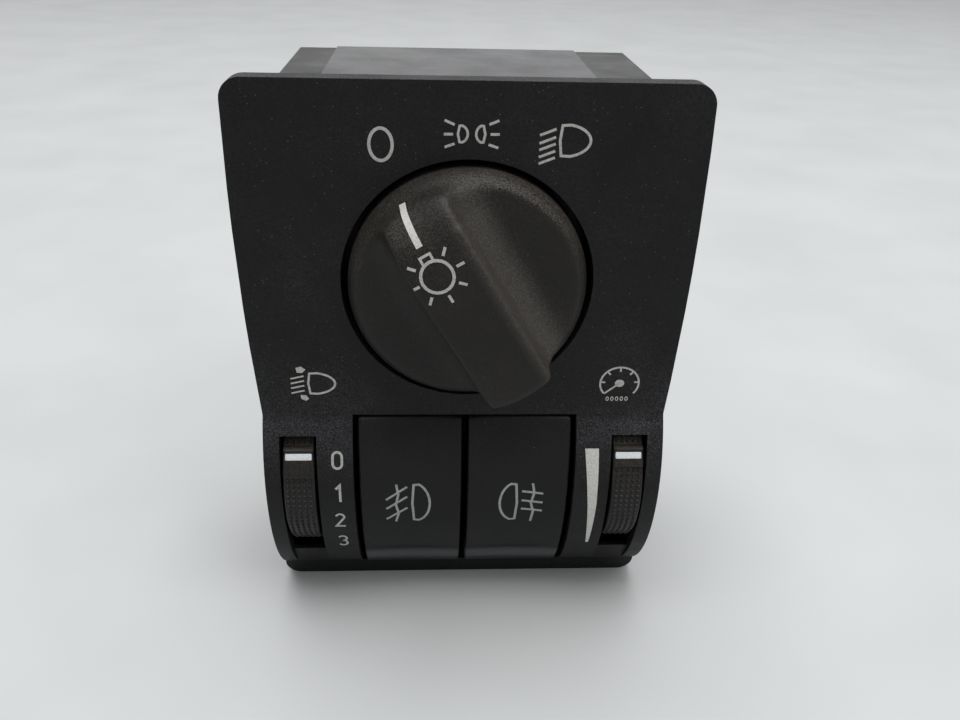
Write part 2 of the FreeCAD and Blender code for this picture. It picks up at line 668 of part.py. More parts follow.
def make_rear_cover():
    """Cover with the connector shroud."""
    body = new_body("rear_cover")
    pad(
        body,
        "front",
        HOUSING_BACK,
        COVER_BACK,
        box(-HOUSING_HALF, S.housing_foot, HOUSING_HALF, HOUSING_TOP),
    )
    rims = [
        box(inset - INNER_HALF, INNER_FOOT + inset, INNER_HALF - inset, INNER_TOP - inset)
        for inset in (S.seat_gap, S.seat_gap + S.spigot_wall)
    ]
    pad(body, "front", HOUSING_BACK - S.spigot_depth, HOUSING_BACK, *rims)
    half = S.shroud_width / 2
    rise = S.shroud_height / 2
    pad(body, "front", COVER_BACK, REAR_END, box(-half, LEVEL - rise, half, LEVEL + rise))
    half = half - S.shroud_wall
    rise = rise - S.shroud_wall
    pocket(body, "front", HOUSING_BACK - PROUD, BEYOND, box(-half, LEVEL - rise, half, LEVEL + rise))
    keyway = S.shroud_wall
    notch = box(-keyway, LEVEL + rise - keyway, keyway, LEVEL + rise + keyway * 2)
    pocket(body, "front", COVER_BACK + keyway, BEYOND, notch)
    for x, z in screw_places():
        pocket(body, "front", HOUSING_BACK - PROUD, BEYOND, (x, z, S.screw_radius + S.seat_gap))
    return body


def make_screws():
    """Four cover screws in one node."""
    body = new_body("cover_screws")
    for x, z in screw_places():
        pad(body, "front", COVER_BACK - S.screw_length, COVER_BACK, (x, z, S.screw_radius))
        pad(body, "front", COVER_BACK, COVER_BACK + S.screw_head_wall, (x, z, S.screw_head))
    return body


def pin_places():
    """The connector pins, seen from the front."""
    return [
        (column * S.pin_pitch, LEVEL + row * S.pin_row_pitch / 2)
        for column in (-3, -2, -1, 0, 1, 2, 3)
        for row in (-1, 1)
    ]


def make_connector():
    """Block behind the circuit board and the pins that stand in it."""
    block = new_body("connector_block")
    half = S.shroud_width / 2 - S.shroud_wall - S.seat_gap
    rise = S.shroud_height / 2 - S.shroud_wall - S.seat_gap
    pad(block, "front", CIRCUIT_BACK, COVER_BACK, box(-half, LEVEL - rise, half, LEVEL + rise))
    pins = new_body("connector_pins")
    squares = [square_at(x, z, S.pin_width / 2) for x, z in pin_places()]
    pocket(block, "front", CIRCUIT_BACK - PROUD, BEYOND, *squares)
    pad(pins, "front", CIRCUIT_FRONT, COVER_BACK + S.pin_reach, *squares)
    return block, pins, squares


def make_circuit_board(squares):
    """Circuit board behind the rotor."""
    body = new_body("circuit_board")
    half = INNER_HALF - S.seat_gap
    edge = box(-half, INNER_FOOT + S.seat_gap, half, INNER_TOP - S.seat_gap)
    pad(body, "front", CIRCUIT_FRONT, CIRCUIT_BACK, edge)
    pocket(body, "front", CIRCUIT_FRONT - PROUD, BEYOND, (0, KNOB_LEVEL, S.tail_hole), *squares)
    for x, z in screw_places():
        pocket(body, "front", CIRCUIT_FRONT - PROUD, BEYOND, (x, z, S.screw_neck + S.seat_gap))
    return body


def make_contact_tracks():
    """Two rings of track on the circuit board, under the rotor's contact."""
    body = new_body("contact_tracks")
    outer = S.pip_circle + S.pip_half + S.pip_margin
    inner = S.pip_circle - S.pip_half
    pad(
        body,
        "front",
        CIRCUIT_FRONT - S.track_wall,
        CIRCUIT_FRONT,
        (0, KNOB_LEVEL, outer),
        (0, KNOB_LEVEL, inner),
    )
    return body


def make_pull_switch():
    """Switch block behind the board that the shaft's tail works."""
    body = new_body("pull_switch")
    half = S.pull_switch_width / 2
    pad(
        body,
        "front",
        CIRCUIT_BACK,
        CIRCUIT_BACK + S.pull_switch_depth - S.seat_gap * 2,
        box(-half, KNOB_LEVEL - half, half, KNOB_LEVEL + half),
        (0, KNOB_LEVEL, S.tail_hole),
    )
    return body


def make_light_guide():
    """Clear plate behind the symbols, hollowed over the collar, with a leg that leads back to the lamps."""
    body = new_body("light_guide")
    half = S.guide_width / 2
    bend = COLLAR + S.seat_gap
    foot = KNOB_LEVEL + root(bend * bend - half * half)
    plate = [(-half, foot, -bend), (half, foot), (half, GUIDE_TOP), (-half, GUIDE_TOP)]
    pad(body, "front", S.skin, S.skin + S.guide_wall, plate)
    leg = S.guide_leg_width / 2
    thick = S.guide_wall / 2
    back = CIRCUIT_FRONT - S.lamp_wall - S.seat_gap
    pad(body, "front", S.skin, back, box(-leg, GUIDE_LEVEL - thick, leg, GUIDE_LEVEL + thick))
    return body


def make_lamps():
    """Three lamps on the circuit board, behind the light guide's leg."""
    body = new_body("lighting_lamps")
    half = S.lamp_width / 2
    places = [column * S.lamp_width * 2 for column in (-1, 0, 1)]
    squares = [square_at(x, GUIDE_LEVEL, half) for x in places]
    pad(body, "front", CIRCUIT_FRONT - S.lamp_wall, CIRCUIT_FRONT, *squares)
    return body


def make_rotor():
    """Rotor with its detent flange, its journal and the square bore for the shaft."""
    body = new_body("rotor", 0, 0, KNOB_LEVEL)
    turn(body, -S.selector_step)
    back = S.rotor_front + S.flange_wall
    turned(
        body,
        "Revolution",
        "side",
        [
            (S.rotor_front, 0),
            (S.rotor_front, S.flange_radius),
            (back, S.flange_radius),
            (back, S.journal_radius),
            (ROTOR_BACK, S.journal_radius),
            (ROTOR_BACK, 0),
        ],
    )
    bore = S.shaft_width / 2 + S.running_gap
    pocket(body, "front", -PROUD, BEYOND, box(-bore, -bore, bore, bore))
    for step in (1, 0, -1):
        angle = step * S.selector_step
        reach = S.flange_radius + S.notch_radius / 2
        notch = (reach * sine(angle), reach * cosine(angle), S.notch_radius)
        pocket(body, "front", -PROUD, back + S.seat_gap / 2, notch)
    return body


def turn(body, angle):
    """Turns a body about the selector's axis, which is its own Y axis."""
    body.Placement = FreeCAD.Placement(
        body.Placement.Base, FreeCAD.Rotation(FreeCAD.Vector(0, 1, 0), angle.value)
    )
    bind(body, "Placement.Rotation.Angle", angle)


def make_rotor_contact():
    """Contact disc on the rotor's rear end, with three pips."""
    body = new_body("rotor_contact", 0, 0, KNOB_LEVEL)
    turn(body, -S.selector_step)
    hole = S.shaft_width * 0.5 + S.contact_wall
    back = ROTOR_BACK + S.contact_wall
    touch = CIRCUIT_FRONT - S.track_wall - S.running_gap * 2
    rim = S.pip_circle + S.pip_half + S.pip_margin
    pad(body, "front", ROTOR_BACK, back, (0, 0, rim), box(-hole, -hole, hole, hole))
    for angle in (0, 120, 240):
        pip = square_at(S.pip_circle * sine(angle), S.pip_circle * cosine(angle), S.pip_half)
        pad(body, "front", back - S.contact_wall / 2, touch, pip)
    return body


def make_detent_spring():
    """Leaf spring that runs over the notches of the rotor's flange."""
    body = new_body("detent_spring")
    low = SPRING_NOSE
    high = SPRING_END
    half = S.detent_span / 2 + S.post_radius
    nose = S.notch_radius
    wall = S.detent_wall
    leaf = [
        (-half, high),
        (-nose, low + wall),
        (-nose / 2, low),
        (nose / 2, low),
        (nose, low + wall),
        (half, high),
        (half, high + wall),
        (nose, low + wall * 2),
        (nose / 2, low + wall),
        (-nose / 2, low + wall),
        (-nose, low + wall * 2),
        (-half, high + wall),
    ]
    pad(body, "front", S.rotor_front, S.rotor_front + S.detent_width, leaf)
    return body


def make_knob():
    """Selector knob: rounded shoulder, two finger scoops and the grip bar between them."""
    body = new_body("knob", 0, 0, KNOB_LEVEL)
    turn(body, -S.selector_step)
    # The blank stands taller than the crowned bar that is cut from it.
    ahead = -S.grip_front - S.crown_drop
    level = S.crown_drop - S.grip_front
    turned(
        body,
        "Revolution",
        "side",
        [
            (S.knob_back, 0),
            (S.knob_back, KNOB_RADIUS),
            (-S.shoulder_start, KNOB_RADIUS),
            (-S.shoulder_bend, KNOB_RADIUS - S.shoulder_bend_width),
            (-S.knob_face, FACE_RADIUS),
            (level + S.grip_end_edge, TIP_RADIUS),
            (level, TIP_RADIUS - S.grip_end_edge),
            (ahead, TIP_RADIUS - S.grip_end_edge),
            (ahead, 0),
        ],
    )
    half = S.grip_width / 2
    tip = half - S.grip_draft
    far = KNOB_RADIUS + PROUD
    crest = -S.grip_front - S.grip_crest
    for side, _ in SIDES:
        scoop = [
            (side * (tip - S.grip_edge), ahead - PROUD),
            (side * (tip - S.grip_edge), crest, side * S.grip_edge),
            (side * tip, crest + S.grip_edge),
            (side * half, -S.grip_foot, -side * S.scoop_radius),
            (side * S.scoop_reach, -S.knob_face),
            (side * far, -S.knob_face),
            (side * far, ahead - PROUD),
        ]
        pocket(body, "top", -far, far, scoop)
        round_far_corner(body, side, half, ahead)
    chord = (S.nose_start + KNOB_RADIUS) / 2
    crown = (chord * chord + S.crown_drop * S.crown_drop) / (2 * S.crown_drop)
    ease_depth = level + S.nose_ease_radius * (1 - cosine(S.nose_ease))
    ease_end = S.nose_start + S.nose_ease_radius * sine(S.nose_ease)
    centre_depth = ease_depth + S.nose_radius * cosine(S.nose_ease)
    drop = -S.knob_face - centre_depth
    nose_end = ease_end - S.nose_radius * sine(S.nose_ease)
    nose_end = nose_end + root(S.nose_radius * S.nose_radius - drop * drop)
    nose = [
        (ahead - PROUD, far),
        (-S.knob_face, far),
        (-S.knob_face, nose_end, S.nose_radius),
        (ease_depth, ease_end, S.nose_ease_radius),
        (level, S.nose_start, crown),
        (level, -KNOB_RADIUS),
        (ahead - PROUD, -KNOB_RADIUS),
    ]
    pocket(body, "side", -far, far, nose)
    inside = KNOB_RADIUS - S.knob_wall
    pocket(body, "front", S.knob_wall - S.knob_face, BEYOND, (0, 0, inside), (0, 0, S.boss_radius))
    reach = S.shaft_width / 2
    pocket(body, "front", -S.shaft_socket, BEYOND, box(-reach, -reach, reach, reach))
    return body


def round_far_corner(body, side, half, ahead):
    """Rounds one upright corner at the far end of the grip bar, down to the finger scoop."""
    radius = S.grip_corner
    inside = half - radius
    end = root(FACE_RADIUS * FACE_RADIUS - inside * inside)
    corner = [
        (side * half, radius - end, -side * radius),
        (side * inside, -end),
        (side * inside, -end - PROUD),
        (side * (half + PROUD), -end - PROUD),
        (side * (half + PROUD), radius - end),
    ]
    pocket(body, "front", ahead - PROUD, -S.grip_foot, corner)


def make_shaft():
    """Square shaft from the knob through the rotor to the pull switch, and the ring on its tail."""
    shaft = new_body("selector_shaft", 0, 0, KNOB_LEVEL)
    ring = new_body("shaft_contact", 0, 0, KNOB_LEVEL)
    reach = S.shaft_width / 2
    square = box(-reach, -reach, reach, reach)
    middle = CIRCUIT_BACK + S.pull_switch_depth / 2
    for body in (shaft, ring):
        turn(body, -S.selector_step)
    pad(shaft, "front", -S.shaft_socket, SHAFT_BACK, square)
    pad(ring, "front", middle, middle + S.contact_wall * 2, (0, 0, S.tail_hole - S.seat_gap), square)
    return [shaft, ring]


def make_button(side, label):
    """Fog lamp button: hollowed main face, a ridge, and a strip that follows the row below it."""
    body = new_body(label)
    near, far = side_ends(side, BUTTON_NEAR, BUTTON_FAR)
    foot = S.opening_foot + S.button_foot_gap
    top = S.crease_height - S.button_top_gap
    low = row_front_low(S.ridge_height) + S.ridge_step
    high = row_front(top)
    upper = [
        (low, S.ridge_height, -S.button_arc),
        (high, top),
        (S.button_back, top),
        (S.button_back, S.ridge_height),
    ]
    pad(body, "side", near, far, upper)
    depth, level = face_axis((low, S.ridge_height), (high, top))
    make_dish(body, near, far, depth, level)
    strip = [
        (row_front_low(S.ridge_height), S.ridge_height, LOWER_ARC),
        (row_front_low(foot), foot),
        (S.button_back, foot),
        (S.button_back, S.ridge_height),
    ]
    pad(body, "side", near, far, strip)
    wall = S.button_wall
    deep = wall + S.dish_depth
    hollow = [
        (row_front_low(foot) + deep, foot + wall),
        (low + deep, S.ridge_height, deep - S.button_arc),
        (high + deep, top - wall),
        (S.button_back + PROUD, top - wall),
        (S.button_back + PROUD, foot + wall),
    ]
    pocket(body, "side", near + wall, far - wall, hollow)
    centre = (near + far) / 2
    half = S.stem_width / 2
    rise = S.stem_height / 2
    stem = box(centre - half, S.stem_level - rise, centre + half, S.stem_level + rise)
    fall = S.stem_level - level
    face = depth - root(S.button_arc * S.button_arc - fall * fall)
    pad(body, "front", face + S.dish_depth + wall / 2, S.stem_back, stem)
    return body


def face_axis(low, high):
    """Depth and height of the axis about which a button's main face is bent, from the face's two ends."""
    rise = high[1] - low[1]
    set_back = low[0] - high[0]
    chord = root(rise * rise + set_back * set_back)
    reach = root(S.button_arc * S.button_arc - chord * chord / 4)
    return (low[0] + high[0]) / 2 + reach * rise / chord, (low[1] + high[1]) / 2 + reach * set_back / chord


def make_dish(body, near, far, depth, level):
    """Hollows a button's main face by a barrel that lies across it."""
    half = (far - near) / 2
    across = (half * half + S.dish_depth * S.dish_depth) / (2 * S.dish_depth)
    section = [
        (near, -S.button_arc, -across),
        (far, -S.button_arc),
        (far, -S.button_arc - PROUD),
        (near, -S.button_arc - PROUD),
    ]
    sketch = sketch_in(body, "top", level, [section])
    bind(sketch, "AttachmentOffset.Base.y", depth)
    groove = body.newObject("PartDesign::Groove", f"{body.Label}_groove")
    groove.Profile = sketch
    groove.ReferenceAxis = (sketch, ["H_Axis"])
    groove.Angle = 360
    DOC.recompute()


def make_fog_switch(side, label):
    """Switch behind a fog lamp button, with the slot that guides the button's stem."""
    body = new_body(label)
    centre = side * (BUTTON_NEAR + BUTTON_FAR) / 2
    half = FOG_HALF
    rise = S.fog_height / 2
    case = box(centre - half, S.stem_level - rise, centre + half, S.stem_level + rise)
    pad(body, "front", S.fog_front, BAY_BACK, case)
    half = S.stem_width / 2 + S.running_gap * 2
    rise = S.stem_height / 2 + S.running_gap * 2
    slot = box(centre - half, S.stem_level - rise, centre + half, S.stem_level + rise)
    pocket(body, "front", S.fog_front - PROUD, S.stem_back + S.button_travel + S.seat_gap, slot)
    return body


def on_rim(radius, angle):
    """A point of the thumbwheel's side view, from its axle: the angle rises from the front."""
    return (-radius * cosine(angle), radius * sine(angle))


def rim_block(radius, sink, angle, width):
    """Four corners of a block that stands square in the rim, its outer face flush with the rim."""
    radius = as_size(radius)
    half = as_size(width) / 2
    corners = []
    for reach, offset in ((radius, half), (radius, -half), (radius - sink, -half), (radius - sink, half)):
        corners.append(
            (
                -reach * cosine(angle) - offset * sine(angle),
                reach * sine(angle) - offset * cosine(angle),
            )
        )
    return corners


def rim_notch(angle):
    """Three corners of a V across the rim, drawn as far outside the rim as it is deep."""
    corners = []
    for reach, offset in ((-S.rib_depth, 0), (S.rib_depth, -S.groove_width), (S.rib_depth, S.groove_width)):
        x, y = on_rim(S.wheel_radius + reach, angle)
        corners.append((x - offset * sine(angle), y - offset * cosine(angle)))
    return corners


def make_wheel_set(side, name):
    """Thumbwheel with its marker and wiper, its axle, and the resistor board beside it."""
    place = (side * SLOT_CENTRE, WHEEL_DEPTH, WHEEL_LEVEL)
    wheel = new_body(f"{name}_wheel", *place)
    marker = new_body(f"{name}_marker", *place)
    wiper = new_body(f"{name}_wiper", *place)
    axle = new_body(f"{name}_axle", *place)
    board = new_body(f"{name}_board", *place)
    half = S.wheel_width / 2
    web = S.wheel_web / 2
    inner_rim = S.wheel_radius - S.wheel_rim
    bore = S.axle_radius + S.running_gap
    hub_end = SLOT_CENTRE - POD_INNER - S.seat_gap
    # Outwards is away from the middle of the panel.
    turned(
        wheel,
        "Revolution",
        "top",
        [
            (side * half, bore),
            (side * half, S.hub_radius),
            (side * web, S.hub_radius),
            (side * web, inner_rim),
            (side * half, inner_rim),
            (side * half, S.wheel_radius),
            (-side * half, S.wheel_radius),
            (-side * half, inner_rim),
            (-side * web, inner_rim),
            (-side * web, S.shoulder),
            (-side * half, S.shoulder),
            (-side * half, S.hub_radius),
            (-side * hub_end, S.hub_radius),
            (-side * hub_end, bore),
        ],
    )
    add_ribs(wheel, half)
    inlay = rim_block(S.wheel_radius, S.marker_sink, S.marker_angle, S.marker_height)
    room = rim_block(S.wheel_radius + PROUD, S.marker_sink + PROUD, S.marker_angle, S.marker_height)
    pocket(wheel, "side", S.marker_margin - half, half - S.marker_margin, room)
    pad(marker, "side", S.marker_margin - half, half - S.marker_margin, inlay)
    wiper_back = half + S.contact_wall
    near, far = side_ends(-side, half, wiper_back)
    pad(wiper, "side", near, far, (0, 0, S.wiper_radius), (0, 0, S.hub_radius))
    board_face = SLOT_CENTRE - POD_INNER - S.board_wall
    near, far = side_ends(-side, wiper_back - S.contact_wall / 2, board_face - S.running_gap * 2)
    pip_circle = S.wiper_radius - S.pip_half - S.pip_margin
    pips = [square_at(*on_rim(pip_circle, angle), S.pip_half) for angle in (60, 180, 300)]
    pad(wiper, "side", near, far, *pips)
    near, far = side_ends(-side, board_face, board_face + S.board_wall)
    reach = S.board_reach
    pad(board, "side", near, far, box(-reach, -reach, reach, reach), (0, 0, S.hub_radius + S.seat_gap))
    inner = SLOT_CENTRE - POD_INNER + S.pod_inner_wall
    outer = POD_HALF - SLOT_CENTRE
    near, far = side_ends(side, -inner, outer)
    pad(axle, "side", near, far, (0, 0, S.axle_radius))
    return [wheel, marker, wiper, axle, board]


def add_ribs(wheel, half):
    """Grooves across the rim on both sides of the marker's smooth land, as far as a finger can reach."""
    below = S.marker_angle - S.land_half
    above = S.marker_angle + S.land_half + S.wheel_travel
    groove = pocket(wheel, "side", -half, half, rim_notch(below), rim_notch(above))
    pattern = wheel.newObject("PartDesign::PolarPattern", f"{wheel.Label}_ribs")
    pattern.Originals = [groove]
    axis = next(feature for feature in wheel.Origin.OriginFeatures if feature.Role == "X_Axis")
    pattern.Axis = (axis, [""])
    bind(pattern, "Angle", S.wheel_travel)
    bind(pattern, "Occurrences", whole(S.wheel_travel / S.rib_pitch) + 1)
    wheel.Tip = pattern
    DOC.recompute()


def make_retaining_spring(side, name):
    """Bowed steel strip between its lugs on the housing's side."""
    body = new_body(f"retaining_spring_{name}")
    foot = HOUSING_HALF
    crest = HOUSING_HALF + S.clip_spread - S.clip_wall
    front = S.clip_front
    back = S.clip_front + S.clip_length
    flat = S.clip_length / 10
    middle = (front + back) / 2
    path = [
        (foot, front),
        (foot, front + flat),
        (crest, middle - flat),
        (crest, middle + flat),
        (foot, back - flat),
        (foot, back),
    ]
    strip = [(side * x, y) for x, y in path]
    strip += [(side * (x + S.clip_wall), y) for x, y in reversed(path)]
    half = S.clip_height / 2
    pad(body, "top", S.clip_level - half, S.clip_level + half, strip)
    return body


def check_and_write(keep):
    """Stops on a failed object or solid, then writes one file for each piece."""
    for thing in DOC.Objects:
        if {"Invalid", "Error"} & set(thing.State):
            raise RuntimeError(f"{thing.Label}: {thing.State}")
    for piece in keep:
        if piece.Shape.isNull() or not piece.Shape.isValid() or not piece.Shape.Solids:
            raise RuntimeError(f"{piece.Label} has no valid solid")
    os.makedirs("parts", exist_ok=True)
    for piece in keep:
        piece.Shape.exportStep(f"parts/{piece.Label}.step")


block, pins, squares = make_connector()
pieces = [
    make_fascia(),
    make_housing(),
    make_rear_cover(),
    make_screws(),
    block,
    pins,
    make_circuit_board(squares),
    make_contact_tracks(),
    make_pull_switch(),
    make_light_guide(),
    make_lamps(),
    make_detent_spring(),
    make_rotor(),
    make_rotor_contact(),
    make_knob(),
    *make_shaft(),
    make_button(-1, "front_fog_button"),
    make_button(1, "rear_fog_button"),
    make_fog_switch(-1, "front_fog_switch"),
    make_fog_switch(1, "rear_fog_switch"),
    *make_wheel_set(-1, "levelling"),
    *make_wheel_set(1, "dimmer"),
]
for side, name in SIDES:
    pieces.append(make_retaining_spring(side, name))
DOC.recompute()
check_and_write(pieces)
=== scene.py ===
import bpy
import bmesh
import math
from mathutils import Matrix, Vector
from mathutils.bvhtree import BVHTree


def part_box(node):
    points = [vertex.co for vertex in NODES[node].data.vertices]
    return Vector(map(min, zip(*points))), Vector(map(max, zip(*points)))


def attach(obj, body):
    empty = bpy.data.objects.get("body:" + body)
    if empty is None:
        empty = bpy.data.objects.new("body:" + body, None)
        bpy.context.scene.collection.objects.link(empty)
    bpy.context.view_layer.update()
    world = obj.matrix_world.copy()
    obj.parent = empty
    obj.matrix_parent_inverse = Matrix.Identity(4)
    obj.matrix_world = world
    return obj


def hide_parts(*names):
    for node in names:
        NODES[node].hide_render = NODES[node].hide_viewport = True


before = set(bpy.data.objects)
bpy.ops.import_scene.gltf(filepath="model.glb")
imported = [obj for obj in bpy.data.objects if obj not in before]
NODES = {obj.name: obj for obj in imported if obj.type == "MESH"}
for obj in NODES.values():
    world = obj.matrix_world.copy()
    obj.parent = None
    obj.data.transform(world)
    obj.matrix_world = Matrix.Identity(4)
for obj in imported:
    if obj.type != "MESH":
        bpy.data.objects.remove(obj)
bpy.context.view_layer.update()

# Headlight switch. The front faces -Y, +Z is up, and the foot of the fascia is at Z = 0.
# Sizes are in millimetres and meshes in metres.
MM = 0.001
KNOB_FRONT = 14.1  # how far the knob stands out of the fascia's panel
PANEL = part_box("knob")[0][1] / MM + KNOB_FRONT
KNOB_AXIS = 76.5
POINTER = math.radians(31.0)


# Colour and materials

PATCH = 9.0  # paler patches where a plastic was handled
DRIFT = 14.0  # broad drifts in the film of dust
SPECK = "#5f5b54"


def linear(code):
    """An sRGB hex colour as a linear one."""
    parts = [int(code[i:i + 2], 16) / 255 for i in (1, 3, 5)]
    return [v / 12.92 if v <= 0.04045 else ((v + 0.055) / 1.055) ** 2.4 for v in parts] + [1.0]


def scale(size):
    """The scale of a texture whose blotches or cells are about a size across."""
    return 1 / (size * MM)


def feed(tree, node, inputs):
    """Sets or links each of a node's inputs."""
    for name, value in inputs.items():
        if isinstance(value, bpy.types.NodeSocket):
            tree.links.new(value, node.inputs[name])
        else:
            node.inputs[name].default_value = value


def add(tree, kind, inputs=None, stops=None, **settings):
    """Adds a node with its settings and inputs, and the two stops of a ramp: (position, hex)."""
    node = tree.nodes.new(kind)
    for name, value in settings.items():
        setattr(node, name, value)
    feed(tree, node, inputs or {})
    if stops:
        for point, (position, code) in zip(node.color_ramp.elements, stops):
            point.position = position
            point.color = linear(code)
    return node


def start(name):
    """A new material: its tree, its shader and the object's own coordinates."""
    look = bpy.data.materials.new(name)
    look.use_nodes = True
    tree = look.node_tree
    shader = tree.nodes["Principled BSDF"]
    place = add(tree, "ShaderNodeTexCoord").outputs["Object"]
    return look, tree, shader, place


def dust(tree, place, spacing, radius, share):
    """1 inside scattered specks, 0 between them. Share is the part of the cells that hold one."""
    cells = add(tree, "ShaderNodeTexVoronoi", {"Vector": place, "Scale": scale(spacing)})
    near = {0: cells.outputs["Distance"], 1: radius / spacing}
    speck = add(tree, "ShaderNodeMath", near, operation="LESS_THAN")
    chosen = add(tree, "ShaderNodeSeparateColor", {"Color": cells.outputs["Color"]})
    few = {0: chosen.outputs["Red"], 1: share}
    picked = add(tree, "ShaderNodeMath", few, operation="LESS_THAN")
    both = {0: speck.outputs[0], 1: picked.outputs[0]}
    return add(tree, "ShaderNodeMath", both, operation="MULTIPLY").outputs[0]


def dust_with_top_light(tree, place, grain, colour, code, most):
    """A thin coat of dust that lies in the grain, thickest on the faces turned up, which are also
    painted paler there as if lit from above.
    """
    normal = add(tree, "ShaderNodeNewGeometry").outputs["Normal"]
    facing = add(tree, "ShaderNodeSeparateXYZ", {"Vector": normal}).outputs["Z"]
    # Faces turned up get the most: dust settles there, and the paleness also paints the light from
    # above.
    turned = add(tree, "ShaderNodeMapRange", {
        "Value": facing, "From Min": 0.03, "From Max": 0.45, "To Min": 0.15 * most, "To Max": most,
    }).outputs["Result"]
    hollows = add(tree, "ShaderNodeTexNoise", {
        "Vector": place, "Scale": scale(grain * 0.8), "Detail": 4.0, "Roughness": 0.7,
    }).outputs["Fac"]
    grit = add(tree, "ShaderNodeMapRange", {
        "Value": hollows, "From Min": 0.42, "From Max": 0.68, "To Min": 0.0, "To Max": 1.0,
    }).outputs["Result"]
    broad = add(tree, "ShaderNodeTexNoise", {
        "Vector": place, "Scale": scale(DRIFT), "Detail": 3.0, "Roughness": 0.5,
    }).outputs["Fac"]
    drift = add(tree, "ShaderNodeMapRange", {
        "Value": broad, "From Min": 0.3, "From Max": 0.7, "To Min": 0.3, "To Max": 1.0,
    }).outputs["Result"]
    share = add(tree, "ShaderNodeMath", {0: turned, 1: grit}, operation="MULTIPLY").outputs[0]
    share = add(tree, "ShaderNodeMath", {0: share, 1: drift}, operation="MULTIPLY").outputs[0]
    coat = {0: share, 6: colour, 7: linear(code)}
    return add(tree, "ShaderNodeMix", coat, data_type="RGBA").outputs[2]


def highlight_and_wear_band(tree, place, grain, colour, code, most, height, turn, across, half, far):
    """A pale band of painted highlight, broken up by the grain. It runs along Z after a turn about
    Y.

    The turn is round the point of the Z axis at a height. Across is how far the band's middle lies
    from that point, half is its half width, and far is where it starts to fade out.
    """
    fade = 6
    centred = {"Vector": place, "Location": (0, 0, -height * MM)}
    centred = add(tree, "ShaderNodeMapping", centred).outputs["Vector"]
    turned = {"Vector": centred, "Rotation": (0, turn, 0)}
    turned = add(tree, "ShaderNodeMapping", turned).outputs["Vector"]
    along = add(tree, "ShaderNodeSeparateXYZ", {"Vector": turned})
    away = {0: along.outputs["X"], 1: across * MM}
    away = add(tree, "ShaderNodeMath", away, operation="SUBTRACT").outputs[0]
    away = add(tree, "ShaderNodeMath", {0: away}, operation="ABSOLUTE").outputs[0]
    near = add(tree, "ShaderNodeMapRange", {
        "Value": away, "From Min": 0.3 * half * MM, "From Max": half * MM,
        "To Min": most, "To Max": 0,
    }).outputs["Result"]
    reach = add(tree, "ShaderNodeMapRange", {
        "Value": along.outputs["Z"], "From Min": far * MM, "From Max": (far + fade) * MM,
        "To Min": 1, "To Max": 0,
    }).outputs["Result"]
    near = add(tree, "ShaderNodeMath", {0: near, 1: reach}, operation="MULTIPLY").outputs[0]
    peaks = add(tree, "ShaderNodeTexNoise", {
        "Vector": place, "Scale": scale(grain * 1.2), "Detail": 4.0, "Roughness": 0.7,
    }).outputs["Fac"]
    broken_up = add(tree, "ShaderNodeMapRange", {
        "Value": peaks, "From Min": 0.35, "From Max": 0.65, "To Min": 0.35, "To Max": 1.0,
    }).outputs["Result"]
    near = add(tree, "ShaderNodeMath", {0: near, 1: broken_up}, operation="MULTIPLY").outputs[0]
    band = {0: near, 6: colour, 7: linear(code)}
    return add(tree, "ShaderNodeMix", band, data_type="RGBA").outputs[2]


def moulded_plastic(
    name, dark, light, grain, depth, rough, speck=None, gloss=0.5, top_lit_dust=None, highlight_and_wear=None
):
    """Moulded plastic: the mould's grain breaks up the gloss, and handling leaves paler patches.

    Speck is dust's (spacing, radius, share); the dust film's (hex colour, share) also paints light
    from above on faces turned up; and the pale band's (hex colour, share, height, turn, across,
    half width, fades out from) is a painted highlight, with rubbing wear in it on the knob.
    """
    look, tree, shader, place = start(name)
    patches = add(tree, "ShaderNodeTexNoise", {
        "Vector": place, "Scale": scale(PATCH), "Detail": 4.0, "Roughness": 0.6,
    }).outputs["Fac"]
    fine = add(tree, "ShaderNodeTexNoise", {
        "Vector": place, "Scale": scale(grain), "Detail": 3.0, "Roughness": 0.6,
    }).outputs["Fac"]
    tones = [(0.35, dark), (0.7, light)]
    colour = add(tree, "ShaderNodeValToRGB", {"Fac": patches}, tones).outputs["Color"]
    if top_lit_dust:
        colour = dust_with_top_light(tree, place, grain, colour, *top_lit_dust)
    if highlight_and_wear:
        colour = highlight_and_wear_band(tree, place, grain, colour, *highlight_and_wear)
    if speck:
        spots = {0: dust(tree, place, *speck), 6: colour, 7: linear(SPECK)}
        colour = add(tree, "ShaderNodeMix", spots, data_type="RGBA").outputs[2]
    relief = {"Height": fine, "Distance": depth * MM, "Strength": 1.0}
    sheen = {
        "Value": patches, "From Min": 0.3, "From Max": 0.7,
        "To Min": rough - 0.05, "To Max": rough + 0.07,
    }
    feed(tree, shader, {
        "Base Color": colour,
        "Normal": add(tree, "ShaderNodeBump", relief).outputs["Normal"],
        "Roughness": add(tree, "ShaderNodeMapRange", sheen).outputs["Result"],
        "IOR": 1.5,
        "Specular IOR Level": gloss,
    })
    return look


def plain_metal(name, dark, light, rough, streak):
    """Bare sheet metal, drawn or stamped: fine streaks along the strip."""
    look, tree, shader, place = start(name)
    stretch = add(tree, "ShaderNodeMapping", {"Vector": place, "Scale": streak}).outputs["Vector"]
    lines = add(tree, "ShaderNodeTexNoise", {
        "Vector": stretch, "Scale": scale(0.6), "Detail": 4.0, "Roughness": 0.6,
    }).outputs["Fac"]
    tones = [(0.3, dark), (0.7, light)]
    sheen = {
        "Value": lines, "From Min": 0.3, "From Max": 0.7,
        "To Min": rough - 0.06, "To Max": rough + 0.08,
    }
    relief = {"Height": lines, "Distance": 0.01 * MM, "Strength": 1.0}
    feed(tree, shader, {
        "Base Color": add(tree, "ShaderNodeValToRGB", {"Fac": lines}, tones).outputs["Color"],
        "Roughness": add(tree, "ShaderNodeMapRange", sheen).outputs["Result"],
        "Normal": add(tree, "ShaderNodeBump", relief).outputs["Normal"],
        "Metallic": 1.0,
    })
    return look
